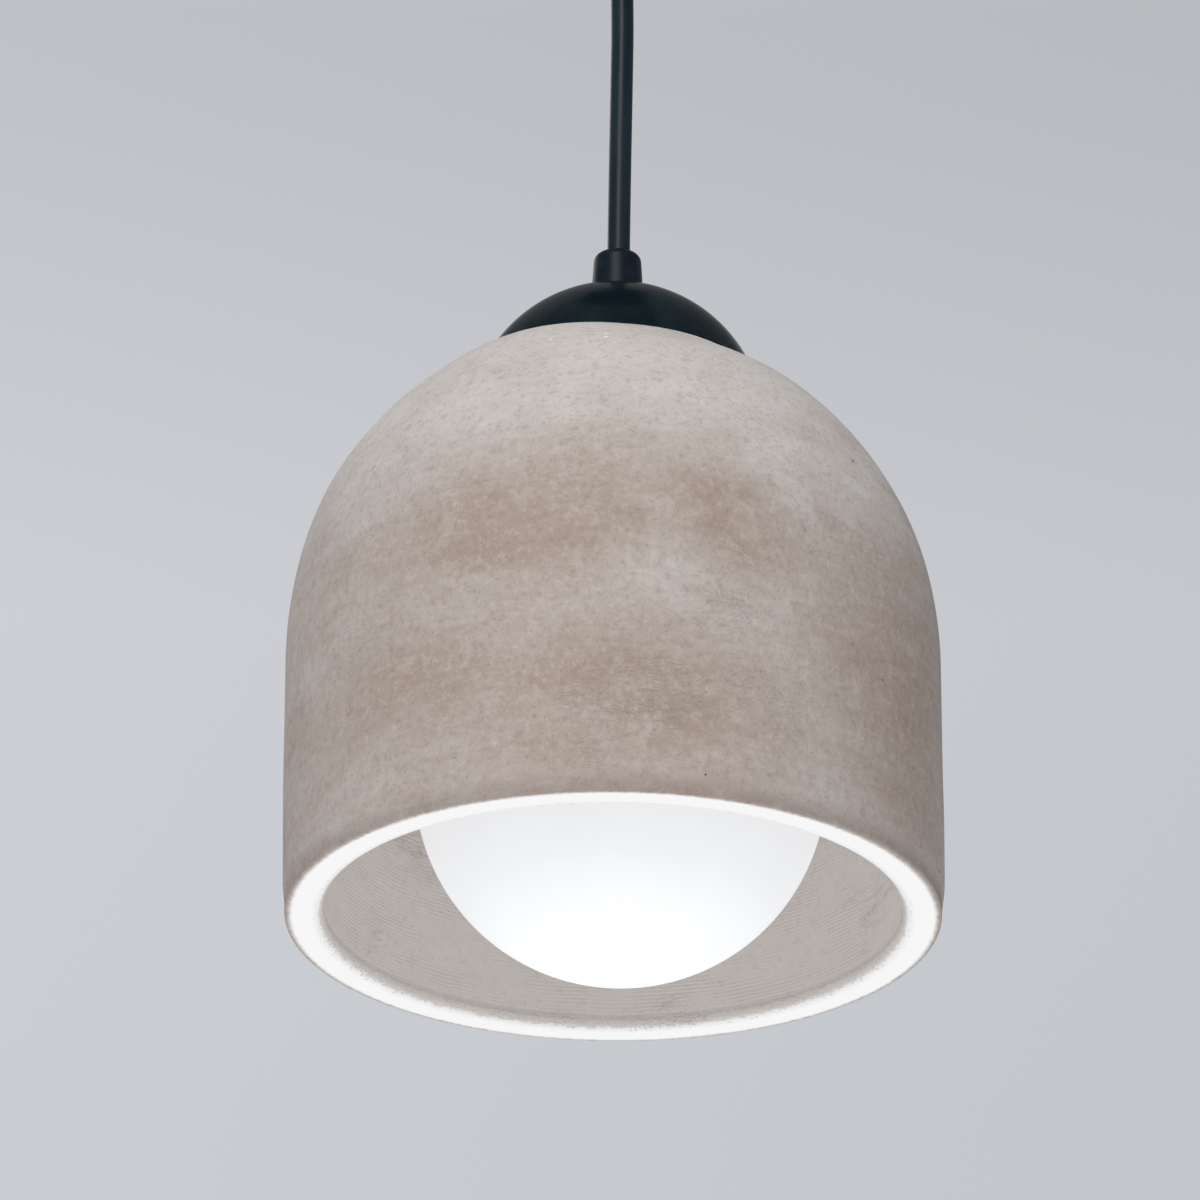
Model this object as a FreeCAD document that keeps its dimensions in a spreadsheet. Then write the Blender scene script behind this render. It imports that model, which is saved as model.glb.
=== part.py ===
"""Pendant ceiling light: a cast concrete shade on a black cord, with a globe bulb.

Millimetres, +Z up. The origin is the middle of the ceiling rose's mounting face,
on the ceiling, and the lamp hangs down from it along -Z. Heights of lamp pieces are
counted up from the shade's rim, and each lamp piece is placed by the rim's drop.
"""
import FreeCAD, Part
import math
import os

import Sketcher
from FreeCAD import Placement, Rotation, Vector

doc = FreeCAD.newDocument("pendant_light")
sheet = doc.addObject("Spreadsheet::Sheet", "dims")


class Size:
    """A length or angle that knows both its value and the expression that drives it."""

    def __init__(self, text, value):
        self.text = text
        self.value = value

    @staticmethod
    def of(thing):
        return thing if isinstance(thing, Size) else Size(repr(thing), float(thing))

    def join(self, sign, other, value):
        return Size(f"({self.text} {sign} {other.text})", value)

    def __add__(self, other):
        other = Size.of(other)
        return self.join("+", other, self.value + other.value)

    def __radd__(self, other):
        return Size.of(other) + self

    def __sub__(self, other):
        other = Size.of(other)
        return self.join("-", other, self.value - other.value)

    def __rsub__(self, other):
        return Size.of(other) - self

    def __mul__(self, other):
        other = Size.of(other)
        return self.join("*", other, self.value * other.value)

    def __rmul__(self, other):
        return Size.of(other) * self

    def __truediv__(self, other):
        other = Size.of(other)
        return self.join("/", other, self.value / other.value)

    def __rtruediv__(self, other):
        return Size.of(other) / self

    def __neg__(self):
        return Size(f"(0 - {self.text})", -self.value)


def root(size):
    """Square root of a size."""
    return Size(f"sqrt({size.text})", math.sqrt(size.value))


def cosine(angle):
    """Cosine of an angle in degrees."""
    return Size(f"cos({angle.text} * 1 deg)", math.cos(math.radians(angle.value)))


def sine(angle):
    """Sine of an angle in degrees."""
    return Size(f"sin({angle.text} * 1 deg)", math.sin(math.radians(angle.value)))


def chord_height(radius, half_width):
    """Height above a circle's centre where the circle is half_width wide."""
    return root(radius * radius - half_width * half_width)


size_names = []


def size(name, value):
    """Write one driving dimension into the sheet and return it as a Size."""
    size_names.append(name)
    cell = f"A{len(size_names)}"
    sheet.set(cell, str(value))
    sheet.setAlias(cell, name)
    return Size(f"dims.{name}", float(value))


# ---------------------------------------------------------------- driving dimensions
drop = size("drop", 374)                        # ceiling to the shade's rim

shade_radius = size("shade_radius", 100)
shade_wall = size("shade_wall", 12.5)
shade_straight = size("shade_straight", 82.6)   # height of the straight flank
flank_radius = size("flank_radius", 131)        # slow curve between flank and dome
flank_turn = size("flank_turn", 12.2)           # degrees turned by that curve
seat_height = size("seat_height", 178)          # flat that the cap stands on
crown_thickness = size("crown_thickness", 10)
rim_round = size("rim_round", 2)
rim_inner_round = size("rim_inner_round", 3)

cap_radius = size("cap_radius", 43.4)
cap_height = size("cap_height", 30.9)
cap_wall = size("cap_wall", 1)
cap_flat = size("cap_flat", 8.3)

tube_radius = size("tube_radius", 5)            # M10 x 1 hollow threaded tube
thread_gap = size("thread_gap", 0.05)
hole_gap = size("hole_gap", 0.4)
cut_over = size("cut_over", 1)                  # how far a drill or cutter runs past its piece
nut_width = size("nut_width", 14)               # across flats
nut_height = size("nut_height", 3)

cord_radius = size("cord_radius", 3.5)
cord_gap = size("cord_gap", 0.3)
core_radius = size("core_radius", 1.1)
core_offset = size("core_offset", 1.5)
core_bend = size("core_bend", 2.2)
core_clear = size("core_clear", 0.5)            # core above the contact block
core_entry = size("core_entry", 3)              # length of a core inside its terminal
core_rise = size("core_rise", 3.5)
sheath_length = size("sheath_length", 14)       # sheath inside the threaded tube
sheath_rise = size("sheath_rise", 11)           # sheath inside the rose
tail_gap = size("tail_gap", 0.2)

grip_base_radius = size("grip_base_radius", 8.1)
grip_top_radius = size("grip_top_radius", 7.2)
grip_height = size("grip_height", 14.4)
grip_round = size("grip_round", 2.8)
grip_screw_radius = size("grip_screw_radius", 1.25)
grip_screw_rise = size("grip_screw_rise", 1.6)  # screw above the grip's thread
grip_head_gap = size("grip_head_gap", 0.2)
grip_head_radius = size("grip_head_radius", 2.2)
grip_head_height = size("grip_head_height", 1.4)
grip_slot_width = size("grip_slot_width", 0.6)
grip_thread_depth = size("grip_thread_depth", 4)
grip_mouth_depth = size("grip_mouth_depth", 1.3)
mouth_flare = size("mouth_flare", 0.6)          # grip's mouth wider than the cord, all round

pad_radius = size("pad_radius", 24)
pad_thickness = size("pad_thickness", 1)
washer_radius = size("washer_radius", 22)
washer_thickness = size("washer_thickness", 2)

holder_radius = size("holder_radius", 21.5)
holder_wall = size("holder_wall", 1.8)
holder_top = size("holder_top", 2)
holder_cap_depth = size("holder_cap_depth", 14)
skirt_wall = size("skirt_wall", 2)
block_thickness = size("block_thickness", 6)
tag_thickness = size("tag_thickness", 0.8)
holder_round = size("holder_round", 3)
terminal_inner = size("terminal_inner", 10)     # terminals start this far from the axis
terminal_length = size("terminal_length", 6)
terminal_width = size("terminal_width", 5)
terminal_height = size("terminal_height", 4.4)
small_screw_radius = size("small_screw_radius", 1.4)
small_head_radius = size("small_head_radius", 2.4)
small_head_height = size("small_head_height", 1.2)
tag_radius = size("tag_radius", 8.5)
tag_reach = size("tag_reach", 12)
contact_length = size("contact_length", 9)
contact_gap = size("contact_gap", 0.2)
wire_room = size("wire_room", 4)                # between the inner nut and the block
contact_room = size("contact_room", 2.6)        # between the block and the bulb's tip
contact_strip = size("contact_strip", 0.6)
skirt_short = size("skirt_short", 1)            # skirt ends this far above the cap's collar
shell_rise = size("shell_rise", 1.5)            # shell starts this far inside the skirt
shell_gap = size("shell_gap", 0.3)
shell_wall = size("shell_wall", 0.4)

bulb_radius = size("bulb_radius", 62.5)
bulb_proud = size("bulb_proud", 17.5)           # how far the globe hangs below the rim
bulb_wall = size("bulb_wall", 1.2)
neck_radius = size("neck_radius", 22.5)
throat_radius = size("throat_radius", 28)
neck_height = size("neck_height", 61)           # neck mouth above the globe's centre
housing_wall = size("housing_wall", 1.5)
housing_step = size("housing_step", 0.8)
spigot_length = size("spigot_length", 6)
board_thickness = size("board_thickness", 1.4)
sink_thickness = size("sink_thickness", 1.6)
chip_circle = size("chip_circle", 12)
chip_side = size("chip_side", 3)
chip_height = size("chip_height", 0.7)
driver_width = size("driver_width", 17)
driver_height = size("driver_height", 28)
capacitor_radius = size("capacitor_radius", 4)
capacitor_height = size("capacitor_height", 14)
capacitor_rise = size("capacitor_rise", 4)
screw_radius = size("screw_radius", 13.1)       # E27 lamp cap, crest of its thread
screw_depth = size("screw_depth", 0.95)
screw_pitch = size("screw_pitch", 3.629)
screw_length = size("screw_length", 22)
insulator_height = size("insulator_height", 3)
tip_radius = size("tip_radius", 5)
tip_height = size("tip_height", 2)

rose_radius = size("rose_radius", 50)
rose_height = size("rose_height", 28)
rose_wall = size("rose_wall", 1)
rose_round = size("rose_round", 5)
outlet_radius = size("outlet_radius", 9)
outlet_round = size("outlet_round", 2.2)
outlet_mouth_depth = size("outlet_mouth_depth", 4)
outlet_flare = size("outlet_flare", 2.1)        # outlet's mouth wider than the cord, all round
outlet_stem = size("outlet_stem", 8)            # threaded stem inside the cup
strap_thickness = size("strap_thickness", 2)
strap_width = size("strap_width", 30)
strap_gap = size("strap_gap", 3)                # strap ears to the cup's wall
ear_height = size("ear_height", 12)
ear_width = size("ear_width", 12)
slot_width = size("slot_width", 5)
slot_length = size("slot_length", 14)
slot_spacing = size("slot_spacing", 60)
cup_screw_radius = size("cup_screw_radius", 2)
cup_screw_drop = size("cup_screw_drop", 8)
cup_head_radius = size("cup_head_radius", 3.5)
cup_head_height = size("cup_head_height", 2.2)
outlet_screw_rise = size("outlet_screw_rise", 0.9)
outlet_head_room = size("outlet_head_room", 0.4)  # side screw's head below the cup
pole_spacing = size("pole_spacing", 10)
block_near = size("block_near", 3.5)
block_depth = size("block_depth", 11)
block_height = size("block_height", 12)
clamp_radius = size("clamp_radius", 2.6)
clamp_inset = size("clamp_inset", 0.5)          # clamp's ends inside its block
clamp_screw_sink = size("clamp_screw_sink", 1)  # clamp screw below the mouth of its well
lug_margin = size("lug_margin", 1)              # lug's disc wider than its screw's head
earth_x = size("earth_x", 16)
earth_y = size("earth_y", 7)
lug_radius = size("lug_radius", 1.7)
lug_reach = size("lug_reach", 8)

# ---------------------------------------------------------------- derived sizes
dome_radius = flank_radius + (shade_radius - flank_radius) / cosine(flank_turn)
dome_centre = shade_straight - (dome_radius - flank_radius) * sine(flank_turn)
flank_centre = shade_radius - flank_radius
ceiling_height = seat_height - crown_thickness  # inner flat of the shade's crown

cord_bore = cord_radius + cord_gap              # hole that lets the cord through
cap_sphere = (cap_radius * cap_radius + cap_height * cap_height) / (2 * cap_height)
cap_centre = seat_height + cap_height - cap_sphere
grip_base = cap_centre + chord_height(cap_sphere, cap_flat)
grip_top = grip_base + grip_height
cord_foot_pivot = grip_top - grip_mouth_depth
tube_top = grip_base + grip_thread_depth

pad_top = ceiling_height
washer_top = pad_top - pad_thickness
lower_nut_top = washer_top - washer_thickness
holder_height = lower_nut_top - nut_height      # top face of the holder's cap
inner_nut_top = holder_height - holder_top - tag_thickness
tube_foot = inner_nut_top - nut_height
block_top = tube_foot - wire_room
block_foot = block_top - block_thickness
bulb_top = block_foot - contact_room
bulb_centre = bulb_radius - bulb_proud
screw_top = bulb_top - tip_height - insulator_height
screw_foot = screw_top - screw_length
neck_top = bulb_centre + neck_height
screw_bore = screw_radius - screw_depth - shell_wall
skirt_foot = screw_foot + skirt_short
shell_foot = skirt_foot + shell_rise
shell_outer = screw_radius + shell_gap + screw_depth + shell_wall
core_level = block_top + core_radius + core_clear
core_back = core_offset / 2                     # three cores stand 120 degrees apart
core_side = core_offset * root(Size.of(3)) / 2
sheath_foot = tube_top - sheath_length
tube_hole = tube_radius + hole_gap
tube_thread = tube_radius + thread_gap
small_tap = small_screw_radius + thread_gap
cup_tap = cup_screw_radius + thread_gap
grip_screw_height = tube_top + grip_screw_rise

rose_inner = rose_radius - rose_wall
outlet_screw_level = outlet_mouth_depth + cord_radius + outlet_screw_rise
outlet_height = outlet_screw_level + grip_head_radius + outlet_head_room
rose_floor = rose_wall - rose_height
block_middle = block_near + block_depth / 2
outlet_foot = -rose_height - outlet_height
cord_head_pivot = outlet_foot + outlet_mouth_depth
strap_reach = rose_inner - strap_gap
sheath_head = cord_head_pivot + cord_radius + sheath_rise
outlet_screw_height = outlet_foot + outlet_screw_level
clamp_level = -strap_thickness - block_height / 2
lug_level = -strap_thickness - lug_radius

ZERO = Size("0", 0.0)
CHIP_COUNT = 12
THREAD_SHARES = (0.2, 0.42, 0.68, 0.9)          # root, crest, crest and root within one pitch
TERMINAL_SIDES = (("live", -1), ("neutral", 1))
ENDS = (("left", -1), ("right", 1))


# ---------------------------------------------------------------- building helpers
def plane(body, role):
    """One of a body's own origin planes."""
    for feature in body.Origin.OriginFeatures:
        if feature.Role == role:
            return feature
    raise LookupError(role)


def pin_down(sketch, index, end, across, up):
    """Tie one sketch vertex to the origin by its two coordinates; None leaves one free."""
    for value, kind, axis in ((across, "DistanceX", -2), (up, "DistanceY", -1)):
        if value is None:
            continue
        if abs(value.value) < 1e-9:
            sketch.addConstraint(Sketcher.Constraint("PointOnObject", index, end, axis))
            continue
        number = sketch.addConstraint(
            Sketcher.Constraint(kind, -1, 1, index, end, value.value))
        sketch.setExpression(f"Constraints[{number}]", value.text)


def outline_sketch(body, name, outline, role="XZ_Plane"):
    """Closed sketch from corners (r, h) and arcs (r, h, centre_r, centre_h, ccw, free).

    An arc entry runs from the previous corner to its own (r, h); free names the
    coordinate that the arc's radius settles, so that the sketch isn't overtied.
    """
    sketch = body.newObject("Sketcher::SketchObject", name)
    sketch.AttachmentSupport = [(plane(body, role), "")]
    sketch.MapMode = "FlatFace"
    count = len(outline)
    for i in range(count):
        start, end = outline[i - 1], outline[i]
        a = Vector(start[0].value, start[1].value, 0)
        b = Vector(end[0].value, end[1].value, 0)
        if len(end) == 2:
            sketch.addGeometry(Part.LineSegment(a, b), False)
            continue
        c = Vector(end[2].value, end[3].value, 0)
        circle = Part.Circle(c, Vector(0, 0, 1), (a - c).Length)
        first, last = (a, b) if end[4] else (b, a)
        angles = [math.atan2((p - c).y, (p - c).x) for p in (first, last)]
        sketch.addGeometry(Part.ArcOfCircle(circle, angles[0], angles[1]), False)

    def tail(i):
        return 1 if len(outline[i]) > 2 and not outline[i][4] else 2

    def head(i):
        return 3 - tail(i)

    for i in range(count):
        following = (i + 1) % count
        sketch.addConstraint(
            Sketcher.Constraint("Coincident", i, tail(i), following, head(following)))
    for i in range(count):
        item = outline[i]
        free = item[5] if len(item) > 2 else ""
        across = None if free == "r" else item[0]
        up = None if free == "h" else item[1]
        pin_down(sketch, i, tail(i), across, up)
        if len(item) > 2:
            pin_down(sketch, i, 3, item[2], item[3])
    return sketch


def new_body(label):
    """An empty body with its own label."""
    body = doc.addObject("PartDesign::Body", label)
    body.Label = label
    return body


def turned(label, outline, at=None):
    """A piece turned about Z from a closed outline, placed by a height."""
    body = new_body(label)
    sketch = outline_sketch(body, f"{label}_outline", outline)
    turn = body.newObject("PartDesign::Revolution", f"{label}_turn")
    turn.Profile = sketch
    turn.ReferenceAxis = (sketch, ["V_Axis"])
    turn.Angle = 360
    sketch.Visibility = False
    body.Tip = turn
    place(body, ZERO, ZERO, -drop if at is None else at)
    return body


def place(thing, x, y, z, rotation=None):
    """Place an object by three sizes and an optional turn."""
    thing.Placement = Placement(Vector(x.value, y.value, z.value), rotation or Rotation())
    for axis, value in (("x", x), ("y", y), ("z", z)):
        if value is not ZERO:
            thing.setExpression(f".Placement.Base.{axis}", value.text)


def primitive(kind, name, sizes, x, y, z, rotation=None):
    """A Part primitive with its sizes and place tied to the sheet."""
    thing = doc.addObject(kind, name)
    for prop, value in sizes.items():
        setattr(thing, prop, value.value)
        thing.setExpression(prop, value.text)
    place(thing, Size.of(x), Size.of(y), Size.of(z), rotation)
    return thing


def rod(name, radius, height, x, y, z, rotation=None):
    """A plain cylinder standing on (x, y, z)."""
    return primitive("Part::Cylinder", name, {"Radius": radius, "Height": height}, x, y, z, rotation)


def slab(name, length, width, height, x, y, z, rotation=None):
    """A block with its low corner at (x, y, z)."""
    sizes = {"Length": length, "Width": width, "Height": height}
    return primitive("Part::Box", name, sizes, x, y, z, rotation)


def joined(name, shapes):
    """Several overlapping solids as one."""
    fuse = doc.addObject("Part::MultiFuse", name)
    fuse.Shapes = shapes
    fuse.Label = name
    return fuse


def less(name, base, tools):
    """A solid with others taken out of it."""
    tool = tools[0] if len(tools) == 1 else joined(f"{name}_tools", tools)
    cut = doc.addObject("Part::Cut", name)
    cut.Base = base
    cut.Tool = tool
    cut.Label = name
    return cut


def group(name, shapes):
    """Identical loose solids that share one node."""
    compound = doc.addObject("Part::Compound", name)
    compound.Links = shapes
    compound.Label = name
    return compound


ALONG_X = Rotation(Vector(0, 1, 0), 90)
ALONG_Y = Rotation(Vector(1, 0, 0), -90)


def nut(label, top, at=ZERO):
    """A thin hexagon nut on the threaded tube, with its top face at a height."""
    base = at + top - nut_height
    sizes = {"Circumradius": nut_width / root(Size.of(3)), "Height": nut_height}
    body = primitive("Part::Prism", f"{label}_hexagon", sizes, 0, 0, base)
    bore = rod(f"{label}_bore", tube_thread, nut_height + cut_over * 2, 0, 0, base - cut_over)
    return less(label, body, [bore])


def ring(label, inner, outer, top, thickness, at=None):
    """A flat turned ring, or a disc, with its top face at a height."""
    low = top - thickness
    return turned(label, [(inner, low), (outer, low), (outer, top), (inner, top)], at)


def wave(radius, depth, foot, length):
    """Corners of a ringed thread form from its foot up: root, crest, crest, root."""
    turns = int(length.value / screw_pitch.value)
    across = (radius - depth, radius, radius, radius - depth)
    corners = []
    for i in range(turns):
        for r, share in zip(across, THREAD_SHARES):
            corners.append((r, foot + screw_pitch * (i + share)))
    return corners


def path_wire(points, radius):
    """Straight runs through points with a tangent arc of one radius at each corner."""
    edges = []
    last = points[0]
    for before, corner, after in zip(points, points[1:], points[2:]):
        inward = (before - corner).normalize()
        outward = (after - corner).normalize()
        turn = math.pi - inward.getAngle(outward)
        setback = radius * math.tan(turn / 2)
        start = corner + inward * setback
        end = corner + outward * setback
        bisector = (inward + outward).normalize()
        middle = corner + bisector * (radius / math.cos(turn / 2) - radius)
        edges.append(Part.LineSegment(last, start).toShape())
        edges.append(Part.Arc(start, middle, end).toShape())
        last = end
    edges.append(Part.LineSegment(last, points[-1]).toShape())
    return Part.Wire(edges)


def round_wire(label, points, radius, bend):
    """An insulated conductor: a round section swept along straight runs and arcs."""
    wire = path_wire(points, bend)
    start = points[0]
    section = Part.Wire(Part.Circle(start, points[1] - start, radius).toShape())
    solid = wire.makePipeShell([section], True, False)
    thing = doc.addObject("Part::Feature", label)
    thing.Shape = solid
    thing.Label = label
    expected = math.pi * radius ** 2 * wire.Length
    print(f"{label}: length {wire.Length:.1f}, volume ratio {solid.Volume / expected:.4f}")
    return thing


# ---------------------------------------------------------------- shade and its fixings
def make_shade():
    """The cast shade: straight flank, dome, flat seat, even wall and a centre hole."""
    inner = shade_radius - shade_wall
    inner_flank = flank_radius - shade_wall
    inner_dome = dome_radius - shade_wall
    knee_r = flank_centre + flank_radius * cosine(flank_turn)
    knee_h = shade_straight + flank_radius * sine(flank_turn)
    inner_knee_r = flank_centre + inner_flank * cosine(flank_turn)
    inner_knee_h = shade_straight + inner_flank * sine(flank_turn)
    seat_edge = chord_height(dome_radius, seat_height - dome_centre)
    inner_edge = chord_height(inner_dome, ceiling_height - dome_centre)
    inner_lip = inner + rim_inner_round
    outer_lip = shade_radius - rim_round
    return turned("shade", [
        (tube_hole, ceiling_height),
        (inner_edge, ceiling_height),
        (inner_knee_r, inner_knee_h, ZERO, dome_centre, False, "h"),
        (inner, shade_straight, flank_centre, shade_straight, False, "r"),
        (inner, rim_inner_round),
        (inner_lip, ZERO, inner_lip, rim_inner_round, True, "h"),
        (outer_lip, ZERO),
        (shade_radius, rim_round, outer_lip, rim_round, True, "r"),
        (shade_radius, shade_straight),
        (knee_r, knee_h, flank_centre, shade_straight, True, "r"),
        (seat_edge, seat_height, ZERO, dome_centre, True, "r"),
        (tube_hole, seat_height),
    ])


def make_cap():
    """The spun steel cap over the crown: a shallow dome with a flat for the grip."""
    inner_sphere = cap_sphere - cap_wall
    inner_rim = chord_height(inner_sphere, seat_height - cap_centre)
    inner_top = grip_base - cap_wall
    inner_flat = chord_height(inner_sphere, inner_top - cap_centre)
    return turned("cap_dome", [
        (inner_rim, seat_height, ZERO, cap_centre, False, "r"),
        (cap_radius, seat_height),
        (cap_flat, grip_base, ZERO, cap_centre, True, "h"),
        (tube_hole, grip_base),
        (tube_hole, inner_top),
        (inner_flat, inner_top),
    ])


def make_fixings():
    """Everything clamped on the threaded tube, from the crown down to the holder."""
    crown_washer_top = seat_height + washer_thickness
    turned("threaded_tube", [
        (cord_bore, tube_foot), (tube_radius, tube_foot),
        (tube_radius, tube_top), (cord_bore, tube_top)])
    ring("crown_washer", tube_hole, washer_radius, crown_washer_top, washer_thickness)
    nut("crown_nut", crown_washer_top + nut_height, -drop)
    ring("shade_pad", tube_hole, pad_radius, pad_top, pad_thickness)
    ring("support_washer", tube_hole, washer_radius, washer_top, washer_thickness)
    nut("support_nut", lower_nut_top, -drop)
    nut("holder_nut", inner_nut_top, -drop)


def make_grip():
    """The cord grip, tapered and round-shouldered, and the nylon screw in its back."""
    thread_top = tube_top + thread_gap
    shoulder = grip_top - grip_round
    crest = grip_top_radius - grip_round
    blank = turned("cord_grip_blank", [
        (tube_thread, grip_base),
        (grip_base_radius, grip_base),
        (grip_top_radius, shoulder),
        (crest, grip_top, crest, shoulder, True, "h"),
        (cord_radius + mouth_flare, grip_top),
        (cord_bore, cord_foot_pivot),
        (cord_bore, thread_top),
        (tube_thread, thread_top),
    ])
    side_screw("cord_grip", blank, grip_base_radius, grip_screw_height - drop)


def side_screw(label, blank, outside, height):
    """Cross-drill a grip on its +Y side and fit the nylon screw that holds the cord."""
    drill = rod(f"{label}_drill", grip_screw_radius + thread_gap, outside + cut_over,
                0, 0, height, ALONG_Y)
    less(label, blank, [drill])
    shank_length = outside + grip_head_gap - cord_radius
    shank = rod(f"{label}_shank", grip_screw_radius, shank_length, 0, cord_radius, height, ALONG_Y)
    head_foot = cord_radius + shank_length
    head = rod(f"{label}_head", grip_head_radius, grip_head_height, 0, head_foot, height, ALONG_Y)
    slot_depth = grip_head_height / 2
    slot_reach = grip_head_radius + cut_over
    slot = slab(f"{label}_slot", slot_reach * 2, slot_depth + cut_over, grip_slot_width,
                -slot_reach, head_foot + slot_depth, height - grip_slot_width / 2)
    body = joined(f"{label}_screw_blank", [shank, head])
    less(f"{label}_screw", body, [slot])


# ---------------------------------------------------------------- cord and conductors
def make_cord():
    """The hanging cord, round at both ends where it bends, and its two clamped tails."""
    top, foot = cord_head_pivot, cord_foot_pivot - drop
    turned("cord", [
        (ZERO, foot - cord_radius),
        (cord_radius, foot, ZERO, foot, True, "r"),
        (cord_radius, top),
        (ZERO, top + cord_radius, ZERO, top, True, "h"),
    ], ZERO)
    foot_top = cord_foot_pivot - cord_radius - tail_gap
    turned("cord_foot", [
        (ZERO, sheath_foot), (cord_radius, sheath_foot),
        (cord_radius, foot_top), (ZERO, foot_top)])
    head_foot = cord_head_pivot + cord_radius + tail_gap
    turned("cord_head", [
        (ZERO, head_foot), (cord_radius, head_foot),
        (cord_radius, sheath_head), (ZERO, sheath_head)], ZERO)


def corner(x, y, z):
    """A point of a conductor's route, from sizes or plain numbers."""
    return Vector(Size.of(x).value, Size.of(y).value, Size.of(z).value)


def make_cores():
    """Live, neutral and earth conductors in the holder and in the rose."""
    level = core_level - drop
    start = sheath_foot - drop
    for label, way in TERMINAL_SIDES:
        round_wire(f"{label}_core", [
            corner(core_side * way, core_back, start),
            corner(core_side * way, core_back, level),
            corner((terminal_inner + core_entry) * way, core_back, level),
        ], core_radius.value, core_bend.value)
        round_wire(f"rose_{label}_core", [
            corner(core_side * way, core_back, sheath_head),
            corner(core_side * way, core_back, sheath_head + core_rise),
            corner(pole_spacing / 2 * way, -core_offset, clamp_level),
            corner(pole_spacing / 2 * way, block_near + core_entry, clamp_level),
        ], core_radius.value, core_bend.value)
    tag_foot = inner_nut_top - drop
    round_wire("earth_core", [
        corner(0, -core_offset, start),
        corner(0, -core_offset, level),
        corner(0, -tag_reach, level),
        corner(0, -tag_reach, tag_foot),
    ], core_radius.value, core_bend.value)
    lug_start = earth_x - lug_reach
    round_wire("rose_earth_core", [
        corner(0, -core_offset, sheath_head),
        corner(0, -core_offset, sheath_head + core_rise),
        corner(core_offset, -earth_y, lug_level),
        corner(lug_start + core_entry / 2, -earth_y, lug_level),
    ], core_radius.value, core_bend.value)


# ---------------------------------------------------------------- lampholder
def make_holder():
    """The E27 lampholder: cap, skirt, contact block, threaded shell and contacts."""
    cap_foot = holder_height - holder_cap_depth
    inner_top = holder_height - holder_top
    inner = holder_radius - holder_wall
    round_start = holder_radius - holder_round
    turned("holder_cap", [
        (inner, cap_foot),
        (holder_radius, cap_foot),
        (holder_radius, holder_height - holder_round),
        (round_start, holder_height, round_start, holder_height - holder_round, True, "h"),
        (tube_hole, holder_height),
        (tube_hole, inner_top),
        (inner, inner_top),
    ])
    skirt_outer = inner - thread_gap
    skirt_inner = skirt_outer - skirt_wall
    ledge_inner = shell_outer + thread_gap
    ledge_foot = block_foot - skirt_wall
    turned("holder_skirt", [
        (skirt_inner, skirt_foot),
        (skirt_outer, skirt_foot),
        (skirt_outer, block_top),
        (skirt_inner, block_top),
        (skirt_inner, block_foot),
        (ledge_inner, block_foot),
        (ledge_inner, ledge_foot),
        (skirt_inner, ledge_foot),
    ])
    ring("contact_block", ZERO, skirt_inner - thread_gap, block_top, block_thickness)
    inside = wave(shell_outer - shell_wall, screw_depth, shell_foot, block_foot - shell_foot)
    outside = [(r + shell_wall, h) for r, h in reversed(inside)]
    turned("screw_shell", inside + outside)

    make_terminals()
    make_centre_contact()
    make_earth_tag()


def make_terminals():
    """The holder's two brass terminal blocks and their screws."""
    level = core_level - drop
    floor = block_top - drop
    blocks = []
    screws = []
    for name, way in TERMINAL_SIDES:
        low = -terminal_inner - terminal_length if way < 0 else terminal_inner
        brass = slab(f"{name}_terminal_block", terminal_length, terminal_width, terminal_height,
                     low, core_back - terminal_width / 2, floor)
        entry = rod(f"{name}_terminal_entry", core_radius + cord_gap,
                    terminal_length + cut_over * 2, low - cut_over, core_back, level, ALONG_X)
        middle = low + terminal_length / 2
        drill = rod(f"{name}_terminal_drill", small_tap, terminal_height,
                    middle, core_back, level)
        blocks.append(less(f"{name}_terminal_brass", brass, [entry, drill]))
        shank_foot = level + core_radius
        head_foot = floor + terminal_height
        shank = rod(f"{name}_terminal_shank", small_screw_radius, head_foot - shank_foot,
                    middle, core_back, shank_foot)
        head = rod(f"{name}_terminal_head", small_head_radius, small_head_height,
                   middle, core_back, head_foot)
        screws.append(joined(f"{name}_terminal_screw", [shank, head]))
    group("holder_terminals", blocks)
    group("holder_terminal_screws", screws)


def make_centre_contact():
    """The strip that the bulb's tip presses against, bent up to the contact block."""
    strip_foot = bulb_top + contact_gap - drop
    riser_x = contact_length - contact_strip
    strip = slab("contact_strip_flat", contact_length + tip_radius, terminal_width, contact_strip,
                 -tip_radius, terminal_width / -2, strip_foot)
    riser = slab("contact_strip_riser", contact_strip, terminal_width,
                 block_foot - drop - strip_foot, riser_x, terminal_width / -2, strip_foot)
    joined("centre_contact", [strip, riser])


def make_earth_tag():
    """The earth tag under the holder's cap: a disc on the tube with a tail."""
    tag_foot = inner_nut_top - drop
    disc = rod("earth_tag_disc", tag_radius, tag_thickness, 0, 0, tag_foot)
    tail = slab("earth_tag_tail", terminal_width, tag_reach + core_radius, tag_thickness,
                terminal_width / -2, -tag_reach - core_radius, tag_foot)
    bore = rod("earth_tag_bore", tube_hole, tag_thickness + cut_over * 2, 0, 0,
               tag_foot - cut_over)
    less("earth_tag", joined("earth_tag_blank", [disc, tail]), [bore])


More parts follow.
